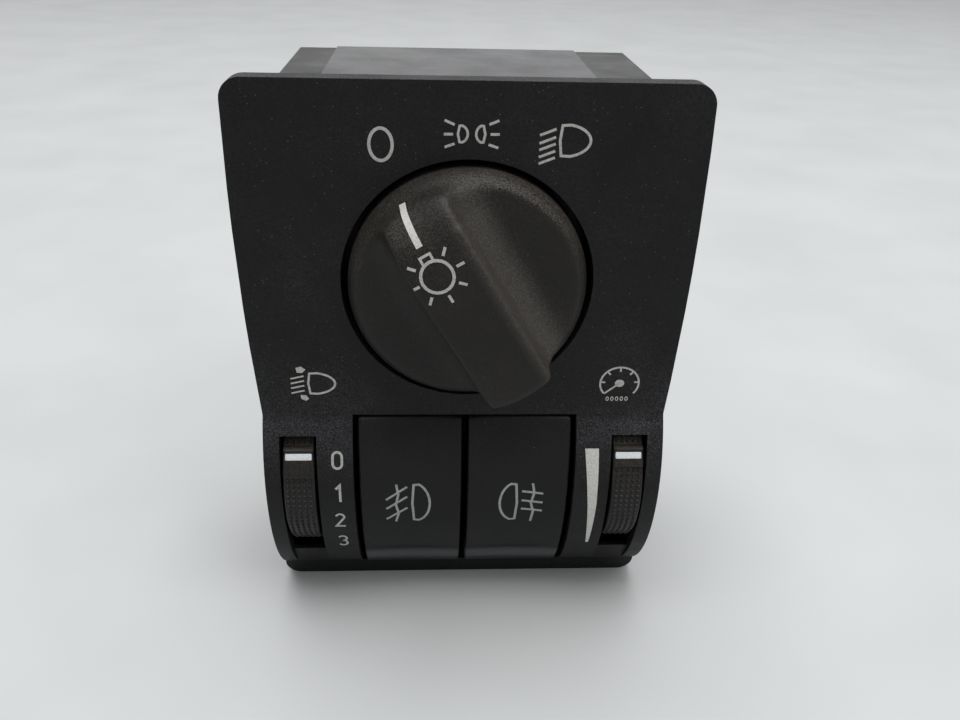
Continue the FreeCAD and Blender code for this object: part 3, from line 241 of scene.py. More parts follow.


# ABS from a spark-eroded mould: matt, with a pebbled grain and dust in it; the dust film is also
# painted paler on faces turned up, for light from above. The real grain is about 0.15 mm, too fine
# to show from here, so it is drawn 0.38 mm wide.
PANEL_ABS = moulded_plastic(
    "grained_abs", "#101011", "#161617", 0.38, 0.10, 0.50,
    (0.8, 0.085, 0.28), 0.2, ("#727276", 0.6),
)
# Glass-filled polyamide: glossier than the panel, in faint broad patches, with a little dust,
# painted paler on faces turned up for light from above.
HOUSING_PA = moulded_plastic(
    "moulded_polyamide", "#121211", "#181817", 0.8, 0.02, 0.34,
    (2.3, 0.12, 0.10), 0.3, ("#55534e", 0.15),
)
# The raised pad: the same, but from a polished patch of the mould, so glossier; its paler tone is
# painted reflection.
PAD_PA = moulded_plastic(
    "polished_polyamide", "#171619", "#222124", 5.0, 0.01, 0.24,
    (2.3, 0.12, 0.10), 0.6, ("#5c5b5e", 0.15),
)
# Soft-touch lacquer on the knob: brownish and matt, dusty and painted paler where it is turned up,
# and pale beside the grip bar, a painted highlight on the flank that faces the light, with rubbing
# wear in it. Its grain too is drawn coarser than the real one, so that it shows.
KNOB_SOFT = moulded_plastic(
    "soft_touch_lacquer", "#161413", "#1d1a18", 0.34, 0.09, 0.46,
    (1.3, 0.08, 0.10), 0.25, ("#7d776e", 0.6),
    ("#605c56", 0.42, KNOB_AXIS, POINTER, 8.0, 3.9, 13.0),
)
# ABS buttons: nearly smooth, a fine satin, dusty and painted paler where turned up, with a painted
# highlight along the strip at the foot.
BUTTON_ABS = moulded_plastic(
    "satin_abs", "#121213", "#161617", 0.25, 0.03, 0.42,
    (2.0, 0.10, 0.08), 0.2, ("#5e5b56", 0.3),
    ("#606264", 0.8, 0.0, math.radians(90), 10.0, 3.0, 99.0),
)
# Thumbwheels of plain ABS: satin, with brownish dust on what is turned up, painted paler there also
# for light from above.
WHEEL_ABS = moulded_plastic(
    "knurled_abs", "#101010", "#171616", 0.3, 0.03, 0.40,
    (0.9, 0.09, 0.10), 0.3, ("#7d7264", 0.45),
)
# Natural polyacetal for what turns and switches inside: milky and waxy.
INNER_POM = moulded_plastic("natural_acetal", "#c9c6bb", "#d8d5cb", 0.9, 0.01, 0.35)


def printed_ink(name, code, low):
    """Screen-printed white ink: thin and uneven, so that the plastic's grain shows in it."""
    look, tree, shader, place = start(name)
    cover = add(tree, "ShaderNodeTexNoise", {
        "Vector": place, "Scale": scale(0.35), "Detail": 3.0, "Roughness": 0.6,
    }).outputs["Fac"]
    tones = [(0.3, low), (0.55, code)]
    relief = {"Height": cover, "Distance": 0.01 * MM, "Strength": 1.0}
    feed(tree, shader, {
        "Base Color": add(tree, "ShaderNodeValToRGB", {"Fac": cover}, tones).outputs["Color"],
        "Normal": add(tree, "ShaderNodeBump", relief).outputs["Normal"],
        "Roughness": 0.55,
    })
    return look


# The buttons' ink is the most worn, and the pointer's the freshest. The wheels' markers are white
# ABS inlays, which are as plain and even as ink.
PANEL_INK = printed_ink("printed_ink", "#b9b9b4", "#9a9a96")
BUTTON_INK = printed_ink("printed_ink_buttons", "#a3a5a4", "#7d7f7f")
BRIGHT_INK = printed_ink("printed_ink_pointer", "#d2d2cc", "#b4b4ae")
MARKER_ABS = printed_ink("white_abs", "#e3e8ea", "#cfd4d6")


def clear_acrylic():
    """Clear acrylic light guide: polished, with a faint haze."""
    look, tree, shader, place = start("clear_acrylic")
    haze = add(tree, "ShaderNodeTexNoise", {
        "Vector": place, "Scale": scale(3.0), "Detail": 2.0, "Roughness": 0.5,
    }).outputs["Fac"]
    tones = [(0.3, "#e9ece8"), (0.7, "#f4f5f1")]
    sheen = {"Value": haze, "From Min": 0.3, "From Max": 0.7, "To Min": 0.04, "To Max": 0.12}
    feed(tree, shader, {
        "Base Color": add(tree, "ShaderNodeValToRGB", {"Fac": haze}, tones).outputs["Color"],
        "Transmission Weight": 0.9,
        "IOR": 1.49,
        "Roughness": add(tree, "ShaderNodeMapRange", sheen).outputs["Result"],
    })
    return look


ACRYLIC = clear_acrylic()
# Circuit boards: green solder mask, smooth and glossy. Lamps: cast epoxy, cloudy and yellowish.
BOARD_EPOXY = moulded_plastic("solder_masked_epoxy", "#123a1f", "#1b4d2b", 0.3, 0.005, 0.30)
LAMP_EPOXY = moulded_plastic("cast_epoxy_lamp", "#d8d2a8", "#e6e0bb", 0.8, 0.005, 0.20)
# Contacts, springs, and screws and axles. The last figures squeeze the pattern on X, Y and Z, and
# the streaks run across the squeezed one.
BRASS = plain_metal("stamped_brass", "#a98a4a", "#c4a663", 0.30, (1, 1, 6))
SPRING = plain_metal("blued_spring_steel", "#77797c", "#96989b", 0.32, (6, 1, 1))
ZINC = plain_metal("zinc_plated_steel", "#9ea2a6", "#bcc0c3", 0.35, (1, 6, 1))

for name, look in {
    "fascia": PANEL_ABS, "main_housing": HOUSING_PA, "rear_cover": HOUSING_PA,
    "cover_screws": ZINC, "connector_block": HOUSING_PA, "connector_pins": BRASS,
    "circuit_board": BOARD_EPOXY, "contact_tracks": BRASS, "pull_switch": INNER_POM,
    "light_guide": ACRYLIC, "lighting_lamps": LAMP_EPOXY, "detent_spring": SPRING,
    "front_fog_switch": INNER_POM, "rear_fog_switch": INNER_POM,
    "levelling_axle": ZINC, "levelling_board": BOARD_EPOXY,
    "dimmer_axle": ZINC, "dimmer_board": BOARD_EPOXY,
    "retaining_spring_left": SPRING, "retaining_spring_right": SPRING,
    "rotor": INNER_POM, "rotor_contact": BRASS,
    "knob": KNOB_SOFT, "selector_shaft": INNER_POM, "shaft_contact": BRASS,
    "levelling_wheel": WHEEL_ABS, "levelling_marker": MARKER_ABS, "levelling_wiper": BRASS,
    "dimmer_wheel": WHEEL_ABS, "dimmer_marker": MARKER_ABS, "dimmer_wiper": BRASS,
    "front_fog_button": BUTTON_ABS, "rear_fog_button": BUTTON_ABS,
}.items():
    NODES[name].data.materials.clear()
    NODES[name].data.materials.append(look)


# Casings

MERGE = 0.004  # points of a CAD mesh that are this near are one
FLAT = 1.0  # degrees between faces that count as one


def keep(name, shape, look, body):
    """Makes a piece from a bmesh that is already in its place, in metres."""
    mesh = bpy.data.meshes.new(name)
    shape.to_mesh(mesh)
    shape.free()
    piece = bpy.data.objects.new(name, mesh)
    bpy.context.collection.objects.link(piece)
    mesh.materials.append(look)
    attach(piece, body)
    return piece


def smooth(piece, angle):
    """Smooth shading, but for edges sharper than the angle in degrees."""
    for face in piece.data.polygons:
        face.use_smooth = True
    piece.data.set_sharp_from_angle(angle=math.radians(angle))


def softened(node, name, radius, look, angle=32):
    """A copy of a moulded piece with its edges rounded, as a mould leaves them."""
    shape = bmesh.new()
    shape.from_mesh(NODES[node].data)
    bmesh.ops.remove_doubles(shape, verts=shape.verts, dist=MERGE * MM)
    bmesh.ops.dissolve_limit(
        shape, angle_limit=math.radians(FLAT), verts=shape.verts, edges=shape.edges,
        delimit={"NORMAL"},
    )
    piece = keep(name, shape, look, "body")
    rounding = piece.modifiers.new("rounding", "BEVEL")
    rounding.width = radius * MM
    rounding.segments = 3
    rounding.limit_method = "ANGLE"
    rounding.angle_limit = math.radians(angle)
    rounding.use_clamp_overlap = True
    rounding.harden_normals = True
    smooth(piece, angle)
    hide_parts(node)
    return piece


shell = softened("main_housing", "housing_shell", 0.3, HOUSING_PA)
# The pad's top faces take the polished plastic, whose paler tone is painted reflection.
shell.data.materials.append(PAD_PA)
pad_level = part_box("main_housing")[1][2] - 0.05 * MM
for face in shell.data.polygons:
    face.material_index = 1 if face.center.z > pad_level else 0
softened("rear_cover", "rear_cover_shell", 0.3, HOUSING_PA)
softened("fascia", "fascia_moulding", 0.6, PANEL_ABS)


# Knob and buttons: even copies of the solids, whose forms are eased into each other

GRIT = 0.4  # size of an even copy's faces


def even_copy(node):
    """A copy of a moulded piece in even small faces, so that its forms can be eased."""
    shape = bmesh.new()
    shape.from_mesh(NODES[node].data)
    bmesh.ops.remove_doubles(shape, verts=shape.verts, dist=MERGE * MM)
    mesh = bpy.data.meshes.new("source")
    shape.to_mesh(mesh)
    shape.free()
    holder = bpy.data.objects.new("source", mesh)
    bpy.context.collection.objects.link(holder)
    remesh = holder.modifiers.new("even", "REMESH")
    remesh.mode = "VOXEL"
    remesh.voxel_size = GRIT * MM
    ready = holder.evaluated_get(bpy.context.evaluated_depsgraph_get())
    result = bpy.data.meshes.new_from_object(ready)
    bpy.data.objects.remove(holder)
    bpy.data.meshes.remove(mesh)
    shape = bmesh.new()
    shape.from_mesh(result)
    bpy.data.meshes.remove(result)
    return shape


def ease(shape, times, chosen):
    """Eases the chosen points towards their neighbours, again and again."""
    verts = [vert for vert in shape.verts if chosen(vert.co / MM)]
    for _ in range(times):
        bmesh.ops.smooth_vert(
            shape, verts=verts, factor=0.5, use_axis_x=True, use_axis_y=True, use_axis_z=True,
        )


def eased_knob():
    """The knob with the soft edges of lacquered plastic, softest where the bar meets the crown."""
    rim_from, rim_in, rim_fade = 19.5, 0.4, 2.0
    rim_back = PANEL - 7
    socket, socket_front = 7, PANEL - 6
    bar_top, bar_foot, bar_back = 14, -15, PANEL - 5.5
    shape = even_copy("knob")

    def along(point):
        """How far a point is along the pointer, from the knob's axis."""
        return point.x * -math.sin(POINTER) + (point.z - KNOB_AXIS) * math.cos(POINTER)

    def outside(point):
        """Whether a point is on the knob's outer skin, and not in the shaft's socket."""
        centred = max(abs(point.x), abs(point.z - KNOB_AXIS))
        return point.y < PANEL - 0.7 and (centred > socket or point.y < socket_front)

    for vert in shape.verts:
        out = Vector((vert.co.x, 0, vert.co.z - KNOB_AXIS * MM))
        if out.length > rim_from * MM and vert.co.y > rim_back * MM:
            share = min(MM, (out.length - rim_from * MM) / rim_fade)
            vert.co -= out.normalized() * rim_in * share
    ease(shape, 10, outside)
    ease(shape, 35, lambda point: outside(point) and along(point) > bar_top)
    ease(shape, 12, lambda point: point.y < bar_back and along(point) < bar_foot)
    piece = keep("selector_knob", shape, KNOB_SOFT, "knob")
    smooth(piece, 60)
    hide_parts("knob")
    return piece


def eased_button(node, name):
    """A fog lamp button whose foot strip runs up into the hollow face above without a step."""
    strip_top, skin = 12.5, 11
    shape = even_copy(node)
    low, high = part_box(node)
    middle = (low[0] + high[0]) / 2 / MM
    half = (high[0] - low[0]) / 2 / MM
    foot = low[2] / MM
    front = low[1] / MM
    for vert in shape.verts:
        point = vert.co / MM
        if point.z <= strip_top and point.y < front + skin and abs(point.x - middle) <= half + 0.1:
            rise = min(1.0, max(0.0, (point.z - foot) / (strip_top - foot)))
            hollow = 0.5 + 0.6 * (1 - ((point.x - middle) / half) ** 2)
            vert.co.y += (rise * hollow - 0.45 * (1 - rise)) * MM

    def at_crease(point):
        """Whether a point is on the front, where the strip meets the face above it."""
        inner = abs(point.x - middle) < half - 0.8
        return point.y < front + 10 and 10.8 < point.z < 14.5 and inner

    ease(shape, 6, lambda point: point.y < front + 10)
    ease(shape, 14, at_crease)
    piece = keep(name, shape, BUTTON_ABS, node)
    smooth(piece, 60)
    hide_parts(node)
    return piece


SKINS = {
    "fascia": NODES["fascia"],
    "knob": eased_knob(),
    "front_fog_button": eased_button("front_fog_button", "front_fog_cap"),
    "rear_fog_button": eased_button("rear_fog_button", "rear_fog_cap"),
}


# Thumbwheels: a smooth land below the marker, a finger catch above it, and knurls beyond both

WHEEL = {
    "radius": 18.0, "half": 3.1, "rim": 2.4, "web": 1.3, "hub": 4.0, "bore": 1.55,
    "shoulder": 5.6, "neck": 6.95, "edge": 0.25,
}
STEPS = 288  # of the spin, 1.25 degrees each
MARKER = 31.2  # degrees above the front
INLAY = (5.4, 1.5, 0.9)
KNURL = 0.3  # how far the knurled stretches lie below the plain rim
KNURL_ACROSS = 1.13
KNURL_ROUND = 3.75  # degrees
KNURL_ROWS = 20
KNURL_SHAPE = {"radius1": 0.5 * MM, "radius2": 0.2 * MM, "depth": 0.36 * MM}


def rim_rise(angle, land):
    """How far the rim stands over its plain radius, at an angle that rises from the front."""
    turn = (angle - MARKER + 180) % 360 - 180
    steps = (
        (-91, 0), (-90, -KNURL), (-land - 1, -KNURL), (-land, 0), (2.4, 0), (3.0, 0.5),
        (4.2, 0.55), (7.4, -KNURL), (91, -KNURL), (92, 0),
    )
    for (low, first), (high, last) in zip(steps, steps[1:]):
        if low <= turn <= high:
            return first + (last - first) * (turn - low) / (high - low)
    return 0


def at_rim(middle, x, angle, radius):
    """The place of something that stands on the rim, its own Z axis outwards."""
    out = Matrix.Translation((x * MM, -radius * MM, 0)) @ Matrix.Rotation(math.radians(90), 4, "X")
    return Matrix.Translation(middle) @ Matrix.Rotation(-math.radians(angle), 4, "X") @ out


def knurled_wheel(side, name, land):
    """The thumbwheel, spun from its section, with its rim shaped and its knurls set on it.

    Side is -1 on the left, and land is how many degrees stay smooth below the marker.
    """
    low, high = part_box(f"{name}_wheel")
    marker_low, marker_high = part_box(f"{name}_marker")
    half, bore, hub, web, rim, edge, neck, shoulder = (
        WHEEL[word] for word in ("half", "bore", "hub", "web", "radius", "edge", "neck", "shoulder")
    )
    middle = Vector((
        (marker_low[0] + marker_high[0]) / 2, (low[1] + high[1]) / 2, (low[2] + high[2]) / 2,
    ))
    inner = rim - WHEEL["rim"]
    section = (
        (side * half, bore), (side * half, hub), (side * web, hub), (side * web, inner),
        (side * half, inner), (side * half, rim - edge), (side * (half - edge), rim),
        (-side * (half - edge), rim), (-side * half, rim - edge), (-side * half, inner),
        (-side * web, inner), (-side * web, shoulder), (-side * half, shoulder),
        (-side * half, hub), (-side * neck, hub), (-side * neck, bore),
    )
    shape = bmesh.new()
    ring = [shape.verts.new(middle + Vector((x, -radius, 0)) * MM) for x, radius in section]
    edges = [shape.edges.new(pair) for pair in zip(ring, ring[1:] + ring[:1])]
    bmesh.ops.spin(
        shape, geom=ring + edges, cent=middle, axis=(1, 0, 0), dvec=(0, 0, 0), angle=math.tau,
        steps=STEPS, use_merge=True, use_duplicate=False,
    )
    for vert in shape.verts:
        out = vert.co - middle
        out.x = 0
        if out.length > (rim - 0.4) * MM:
            angle = math.degrees(math.atan2(out.z, -out.y))
            vert.co += out.normalized() * rim_rise(angle, land) * MM
    bmesh.ops.recalc_face_normals(shape, faces=shape.faces)
    below, above = MARKER - land - 2.4, MARKER + 9.4
    for column in (-2, -1, 0, 1, 2):
        for row in range(KNURL_ROWS):
            for angle in (below - row * KNURL_ROUND, above + row * KNURL_ROUND):
                place = at_rim(middle, column * KNURL_ACROSS, angle, rim - KNURL + 0.12)
                bmesh.ops.create_cone(
                    shape, cap_ends=True, segments=4, **KNURL_SHAPE,
                    matrix=place @ Matrix.Rotation(math.radians(45), 4, "Z"),
                )
    piece = keep(f"{name}_thumbwheel", shape, WHEEL_ABS, f"{name}_wheel")
    smooth(piece, 30)
    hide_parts(f"{name}_wheel")
    make_marker(name, middle)


def make_marker(name, middle):
    """The white inlay, a little proud of the rim and rounded at its corners."""
    shape = bmesh.new()
    size = Matrix.Diagonal([length * MM for length in INLAY] + [1.0])
    place = at_rim(middle, 0, MARKER, WHEEL["radius"] - 0.33)
    bmesh.ops.create_cube(shape, size=1.0, matrix=place @ size)
    bmesh.ops.bevel(
        shape, geom=shape.edges[:], offset=0.28 * MM, offset_type="OFFSET", segments=3,
        profile=0.5, affect="EDGES", material=-1,
    )
    piece = keep(f"{name}_inlay", shape, MARKER_ABS, f"{name}_wheel")
    smooth(piece, 40)
    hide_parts(f"{name}_marker")


knurled_wheel(-1, "levelling", 13.5)
knurled_wheel(1, "dimmer", 7.5)


# Dark walls beside the thumbwheels' slots, which stand in for the shade seen in them

ROW_MIDDLE = 33.0
WALL_X, WALL_THICK, WALL_BACK = 36.95, 0.5, 15.5
WALL_FOOT, WALL_TOP = 3.9, 46.0


def slot_shade(side, name):
    """Dark wall beside a thumbwheel's slot, from the fascia's skin back into the housing's side,
    put there to show the slot's shade in place of the light behind it.

    Its front edge follows the row's skin, in an arc above the row's middle and one below it. Each
    arc is given by its centre's distance behind the panel, its radius and its points' angles.
    """
    path = []
    for way, centre, radius, angles in (
        (1, 26.13, 29.2, (0.46, 0.36, 0.26, 0.17, 0.08)),
        (-1, 33.98, 37.1, (0.0, 0.15, 0.3, 0.45, 0.6, 0.75, 0.9)),
    ):
        path += [
            (centre - radius * math.cos(a), ROW_MIDDLE + way * radius * math.sin(a))
            for a in angles
        ]
    path += [(WALL_BACK, WALL_FOOT), (WALL_BACK, WALL_TOP)]
    shape = bmesh.new()
    verts = [shape.verts.new(Vector((side * WALL_X, PANEL + y, z)) * MM) for y, z in path]
    drawn = bmesh.ops.extrude_face_region(shape, geom=[shape.faces.new(verts)])
    moved = [item for item in drawn["geom"] if isinstance(item, bmesh.types.BMVert)]
    bmesh.ops.translate(shape, verts=moved, vec=(side * WALL_THICK * MM, 0, 0))
    bmesh.ops.recalc_face_normals(shape, faces=shape.faces)
    keep(name, shape, HOUSING_PA, "body")


slot_shade(-1, "levelling_slot_shade_wall")
slot_shade(1, "dimmer_slot_shade_wall")


# Printed signs: each is a set of strokes, drawn from the middle of the panel and its foot

THICK = 0.04  # how far ink stands out of the plastic, and how far it reaches into it
STEP = 0.25  # between the points of a stroke
BAND = 0.6  # between the cuts of a patch


def arc(x, z, across, up, start_angle, end_angle, count=14):
    """Points of an ellipse's arc. Angles are in degrees, anticlockwise from +X."""
    turn = end_angle - start_angle
    span = [math.radians(start_angle + turn * i / (count - 1)) for i in range(count)]
    return [(x + across * math.cos(a), z + up * math.sin(a)) for a in span]


def divided(points, closed):
    """The same path with extra points, so that it can follow a curved surface."""
    path = []
    pairs = list(zip(points, points[1:] + points[:1]))
    for (x0, z0), (x1, z1) in pairs if closed else pairs[:-1]:
        count = max(1, int(math.hypot(x1 - x0, z1 - z0) / STEP))
        path += [(x0 + (x1 - x0) * i / count, z0 + (z1 - z0) * i / count) for i in range(count)]
    return path if closed else path + [points[-1]]


def surface_of(node):
    """A search tree over the surface that a sign is printed on."""
    shape = bmesh.new()
    shape.from_mesh(SKINS[node].data)
    tree = BVHTree.FromBMesh(shape)
    shape.free()
    return tree


def laid_on(tree, shape, lift):
    """Moves a flat shape, drawn at Y from 0 to its thickness, back until it lies on the surface."""
    before = -0.2
    for vert in shape.verts:
        hit = tree.ray_cast(Vector((vert.co.x, before, vert.co.z)), Vector((0, 1, 0)))[0]
        ground = hit.y if hit else PANEL * MM
        vert.co.y = ground - (THICK + lift) * MM + vert.co.y


def stroke(points, width, closed=False):
    """A flat line of even width: the path is drawn out to the ink's thickness, then widened."""
    shape = bmesh.new()
    verts = [shape.verts.new((x * MM, 0, z * MM)) for x, z in divided(points, closed)]
    chain = zip(verts, verts[1:] + verts[:1]) if closed else zip(verts, verts[1:])
    wall = bmesh.ops.extrude_edge_only(shape, edges=[shape.edges.new(pair) for pair in chain])
    moved = [item for item in wall["geom"] if isinstance(item, bmesh.types.BMVert)]
    bmesh.ops.translate(shape, verts=moved, vec=(0, 2 * THICK * MM, 0))
    mesh = bpy.data.meshes.new("stroke")
    shape.to_mesh(mesh)
    shape.free()
    holder = bpy.data.objects.new("stroke", mesh)
    bpy.context.collection.objects.link(holder)
    widen = holder.modifiers.new("width", "SOLIDIFY")
    widen.thickness = width * MM
    widen.offset = 0
    widen.use_even_offset = True
    ready = holder.evaluated_get(bpy.context.evaluated_depsgraph_get())
    result = bpy.data.meshes.new_from_object(ready)
    bpy.data.objects.remove(holder)
    bpy.data.meshes.remove(mesh)
    return result


def patch(points):
    """A filled flat shape of the ink's thickness, cut in bands so that it can follow a curve."""
    shape = bmesh.new()
    face = shape.faces.new([shape.verts.new((x * MM, 0, z * MM)) for x, z in points])
    drawn = bmesh.ops.extrude_face_region(shape, geom=[face])
    moved = [item for item in drawn["geom"] if isinstance(item, bmesh.types.BMVert)]
    bmesh.ops.translate(shape, verts=moved, vec=(0, 2 * THICK * MM, 0))
    levels = [z for _, z in points]
    level = min(levels) + BAND
    while level < max(levels):
        geometry = shape.verts[:] + shape.edges[:] + shape.faces[:]
        bmesh.ops.bisect_plane(
            shape, geom=geometry, plane_co=(0, 0, level * MM), plane_no=(0, 0, 1),
        )
        level += BAND
    bmesh.ops.recalc_face_normals(shape, faces=shape.faces)
    mesh = bpy.data.meshes.new("patch")
    shape.to_mesh(mesh)
    shape.free()
    return mesh


def sign(name, node, body, look, parts, turn=None, lift=0.0):
    """Joins strokes and patches, turns them where asked, and lays them on a node's surface."""
    shape = bmesh.new()
    for mesh in parts:
        shape.from_mesh(mesh)
        bpy.data.meshes.remove(mesh)
    if turn is not None:
        centre = Matrix.Translation((0, 0, KNOB_AXIS * MM))
        bmesh.ops.transform(shape, matrix=centre @ turn, verts=shape.verts)
    laid_on(surface_of(node), shape, lift)
    keep(name, shape, look, body)


def lens(x, z, flat_half, depth, height, way, width):
    """A lamp seen from the side: a bowed back and a round front, way +1 towards +X."""
    rear, bowed = x - way * flat_half, x - way * (flat_half + 0.3)
    back = [(rear, z + height * 0.46), (bowed, z), (rear, z - height * 0.46)]
    front = arc(rear, z, way * depth, height / 2, -72, 72, 17)
    return stroke(back + front, width, True)


# Upper row: off, side lamps, dipped beam.
ring = stroke(arc(-15.4, 102.4, 2.0, 2.8, 0, 347, 28), 0.56, True)
sign("sign_off", "fascia", "body", PANEL_INK, [ring])

side_lamps = [
    lens(-1.6, 104.35, 0.27, 1.4, 3.0, 1, 0.42), lens(2.0, 104.35, 0.24, 1.26, 3.0, -1, 0.42),
]
for ends in (
    ((-4.45, 106.67), (-2.74, 105.92)), ((-4.57, 104.3), (-3.0, 104.3)),
    ((-4.42, 102.07), (-2.71, 102.68)), ((3.19, 106.0), (4.87, 106.7)),
    ((3.44, 104.34), (5.02, 104.36)), ((3.15, 102.58), (4.83, 102.01)),
):
    side_lamps.append(stroke(list(ends), 0.45))
sign("sign_side_lamps", "fascia", "body", PANEL_INK, side_lamps)

dipped = [lens(16.2, 103.4, 0.4, 5.05, 5.7, 1, 0.47)]
for level in (104.9, 103.5, 102.35, 101.1, 99.95):
    dipped.append(stroke([(11.95, level - 0.6), (14.75, level + 0.5)], 0.45))
sign("sign_dipped_beam", "fascia", "body", PANEL_INK, dipped)

# Lower signs: headlight levelling and instrument lighting.
levelling = [lens(-29.9, 55.55, 0.45, 4.9, 4.8, 1, 0.42)]
for level in (56.9, 55.85, 54.8, 53.7):
    levelling.append(stroke([(-34.05, level - 0.3), (-31.45, level + 0.3)], 0.32))
for arrow in (
    [(-32.7, 57.95), (-31.7, 57.9), (-31.0, 58.6), (-31.9, 59.3), (-32.9, 59.0)],
    [(-32.3, 53.0), (-32.2, 52.1), (-31.3, 51.7), (-30.7, 52.1), (-31.2, 52.9)],
):
    levelling.append(patch(arrow))
sign("sign_levelling", "fascia", "body", PANEL_INK, levelling)

DIAL = (30.45, 55.5)
dial = [stroke(arc(*DIAL, 3.85, 3.55, -40, 220, 30), 0.36)]
for angle in (5, 48, 90, 132, 175):
    inner = arc(*DIAL, 2.9, 2.6, angle, angle + 1, 2)[0]
    outer = arc(*DIAL, 3.8, 3.5, angle, angle + 1, 2)[0]
    dial.append(stroke([inner, outer], 0.34))
dial.append(stroke([(27.6, 53.2), DIAL], 0.34))
dial.append(patch(arc(*DIAL, 0.95, 0.8, 0, 340, 18)))
for step in range(5):
    dial.append(stroke(arc(28.3 + step * 0.95, 52.0, 0.26, 0.42, 0, 330, 10), 0.17, True))
sign("sign_instruments", "fascia", "body", PANEL_INK, dial)

# Digits 0 to 3 beside the left thumbwheel and the wedge beside the right one.
zero = arc(-25.53, 40.6, 0.92, 0.95, 0, 180, 10) + arc(-25.53, 39.1, 0.92, 0.95, 180, 360, 10)
two = arc(-25.6, 25.95, 0.85, 0.85, 165, -20, 9) + [(-26.5, 23.2), (-24.6, 23.2)]
three = arc(-25.55, 18.8, 0.85, 0.85, 150, -70, 9) + arc(-25.55, 17.0, 0.9, 1.0, 75, -150, 9)
digits = [
    stroke(zero, 0.5, True),
    stroke([(-26.1, 33.4), (-25.25, 34.3), (-25.25, 30.2)], 0.5),
    stroke(two, 0.45),
    stroke(three, 0.42),
]
sign("sign_digits", "fascia", "body", PANEL_INK, digits)
wedge = patch([
    (24.25, 42.0), (27.05, 42.0), (27.45, 29.0), (27.25, 16.2), (26.65, 16.2), (25.6, 29.0),
])
sign("sign_wedge", "fascia", "body", BRIGHT_INK, [wedge])

# Fog lamp signs on the two buttons: a lamp, its rays and the fog's wavy line.
front_fog = [lens(-10.05, 28.6, 0.35, 3.3, 10.3, 1, 0.5)]
for level in (31.3, 28.8, 25.8):
    front_fog.append(stroke([(-16.1, level - 1.6), (-11.75, level + 1.6)], 0.48))
wave = [(-13.95, 33.5), (-13.55, 31.0), (-14.1, 28.3), (-13.55, 25.8), (-14.2, 23.3)]
front_fog.append(stroke(wave, 0.48))
sign("sign_front_fog", "front_fog_button", "front_fog_button", BUTTON_INK, front_fog)
rear_fog = [lens(10.35, 28.6, 0.35, 3.3, 10.3, -1, 0.5)]
for level in (31.35, 28.95, 26.65):
    rear_fog.append(stroke([(11.95, level + 0.25), (16.35, level - 0.3)], 0.5))
wave = [(14.1, 33.6), (14.5, 31.2), (13.9, 28.6), (14.5, 26.2), (14.1, 23.1)]
rear_fog.append(stroke(wave, 0.5))
sign("sign_rear_fog", "rear_fog_button", "rear_fog_button", BUTTON_INK, rear_fog)

# Pointer and lamp sign on the knob, drawn with the pointer upwards and turned with it. The pointer
# is five narrow rails side by side, so that it follows the crown across its width too.
TURN = Matrix.Rotation(-POINTER, 4, "Y")
RAILS = (-1.88, -1.64, -1.4, -1.16, -0.92)
pointer = [stroke([(across, 14.5), (across - 0.05, 20.4)], 0.26) for across in RAILS]
sign("sign_pointer", "knob", "knob", BRIGHT_INK, pointer, TURN, 0.03)
BULB = (-1.27, 8.9)
bulb = [stroke(arc(*BULB, 2.83, 2.83, 0, 345, 24), 0.55, True)]
bulb.append(stroke([(-2.35, 11.5), (-2.35, 12.95), (-0.4, 12.95), (-0.4, 11.5)], 0.45))
for angle in (45, 0, -45, -90, -135, 180, 135):
    reach = (3.5, 4.7) if angle == 180 else (3.75, 5.25)
    ends = [arc(*BULB, r, r, angle, angle + 1, 2)[0] for r in reach]
    bulb.append(stroke(ends, 0.5))
sign("sign_lamp", "knob", "knob", PANEL_INK, bulb, TURN)


# Studio, in metres

def pale_floor():
    """Matt painted board, very even."""
    look, tree, shader, place = start("painted_board")
    even = add(tree, "ShaderNodeTexNoise", {
        "Vector": place, "Scale": scale(60.0), "Detail": 2.0, "Roughness": 0.5,
    }).outputs["Fac"]
    tones = [(0.3, "#c3c5c6"), (0.7, "#cacccc")]
    feed(tree, shader, {
        "Base Color": add(tree, "ShaderNodeValToRGB", {"Fac": even}, tones).outputs["Color"],
        "Roughness": 0.7,
    })
    return look


def stage_plane(name, size, look):
    """A level square at the object's foot, which belongs to the stage and not to the object."""
    shape = bmesh.new()
    bmesh.ops.create_grid(shape, x_segments=1, y_segments=1, size=size)
    mesh = bpy.data.meshes.new(name)
    shape.to_mesh(mesh)
    shape.free()
    plane = bpy.data.objects.new(name, mesh)
    bpy.context.collection.objects.link(plane)
    mesh.materials.append(look)


stage_plane("floor", 3.0, pale_floor())

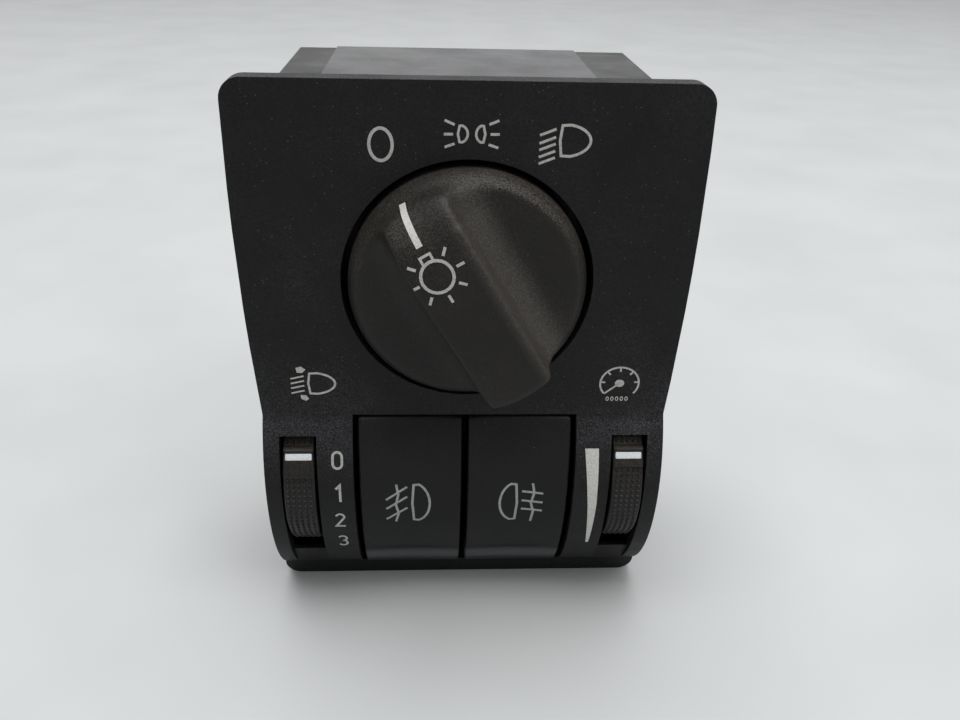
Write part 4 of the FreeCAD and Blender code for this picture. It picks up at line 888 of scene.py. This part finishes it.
# The room is darker in front of the object than behind it, and the camera sees an even backdrop.
FRONT_LIGHT, BACK_LIGHT, BACKDROP = 0.32, 0.75, 0.75
world = bpy.data.worlds.new("studio")
bpy.context.scene.world = world
world.use_nodes = True
tree = world.node_tree
heading = add(tree, "ShaderNodeTexCoord").outputs["Generated"]
depth = add(tree, "ShaderNodeSeparateXYZ", {"Vector": heading}).outputs["Y"]
room = add(tree, "ShaderNodeMapRange", {
    "Value": depth, "From Min": -0.4, "From Max": 0.8,
    "To Min": FRONT_LIGHT, "To Max": BACK_LIGHT,
}).outputs["Result"]
seen = add(tree, "ShaderNodeLightPath").outputs["Is Camera Ray"]
strength = add(
    tree, "ShaderNodeMix", {"Factor": seen, "A": room, "B": BACKDROP}, data_type="FLOAT",
).outputs["Result"]
feed(tree, tree.nodes["Background"], {"Color": linear("#f4f5f6"), "Strength": strength})


def lamp(name, place, aim, size, power):
    """A soft square lamp that looks at a point."""
    data = bpy.data.lights.new(name, "AREA")
    data.size = size
    data.energy = power
    item = bpy.data.objects.new(name, data)
    bpy.context.collection.objects.link(item)
    item.location = place
    item.rotation_euler = (Vector(aim) - Vector(place)).to_track_quat("-Z", "Y").to_euler()


AIM = (0, 0, 0.05)
lamp("ceiling", (-0.1, 0.0, 1.7), AIM, 1.4, 24.0)
lamp("window", (1.1, -0.8, 1.5), AIM, 1.2, 9.0)


# Camera, where the photograph was taken from

CAMERA_TURN = (3.356, 27.60, 1.546)  # yaw, pitch and roll in degrees
CAMERA_PLACE = (-6.38, -154.28, 65.0)  # from the middle of the knob's hole
LENS = 33.75


def camera_at_photo():
    """The camera as it was fitted to the fascia's corners and edges in the photograph."""
    yaw, pitch, roll = (math.radians(v) for v in CAMERA_TURN)
    ahead = Vector((
        math.sin(yaw) * math.cos(pitch), math.cos(yaw) * math.cos(pitch), -math.sin(pitch),
    ))
    level = Vector((math.cos(yaw), -math.sin(yaw), 0))
    upright = level.cross(ahead)
    right = level * math.cos(roll) + upright * math.sin(roll)
    up = right.cross(ahead)
    data = bpy.data.cameras.new("camera")
    data.sensor_width = 36.0
    data.lens = LENS
    data.clip_start = 0.01
    item = bpy.data.objects.new("camera", data)
    bpy.context.collection.objects.link(item)
    x, y, z = CAMERA_PLACE
    place = Vector((x, PANEL + y, KNOB_AXIS + z)) * MM
    turn = Matrix((right, up, -ahead)).transposed().to_4x4()
    item.matrix_world = Matrix.Translation(place) @ turn
    bpy.context.scene.camera = item


camera_at_photo()
bpy.context.scene.view_settings.view_transform = "Standard"
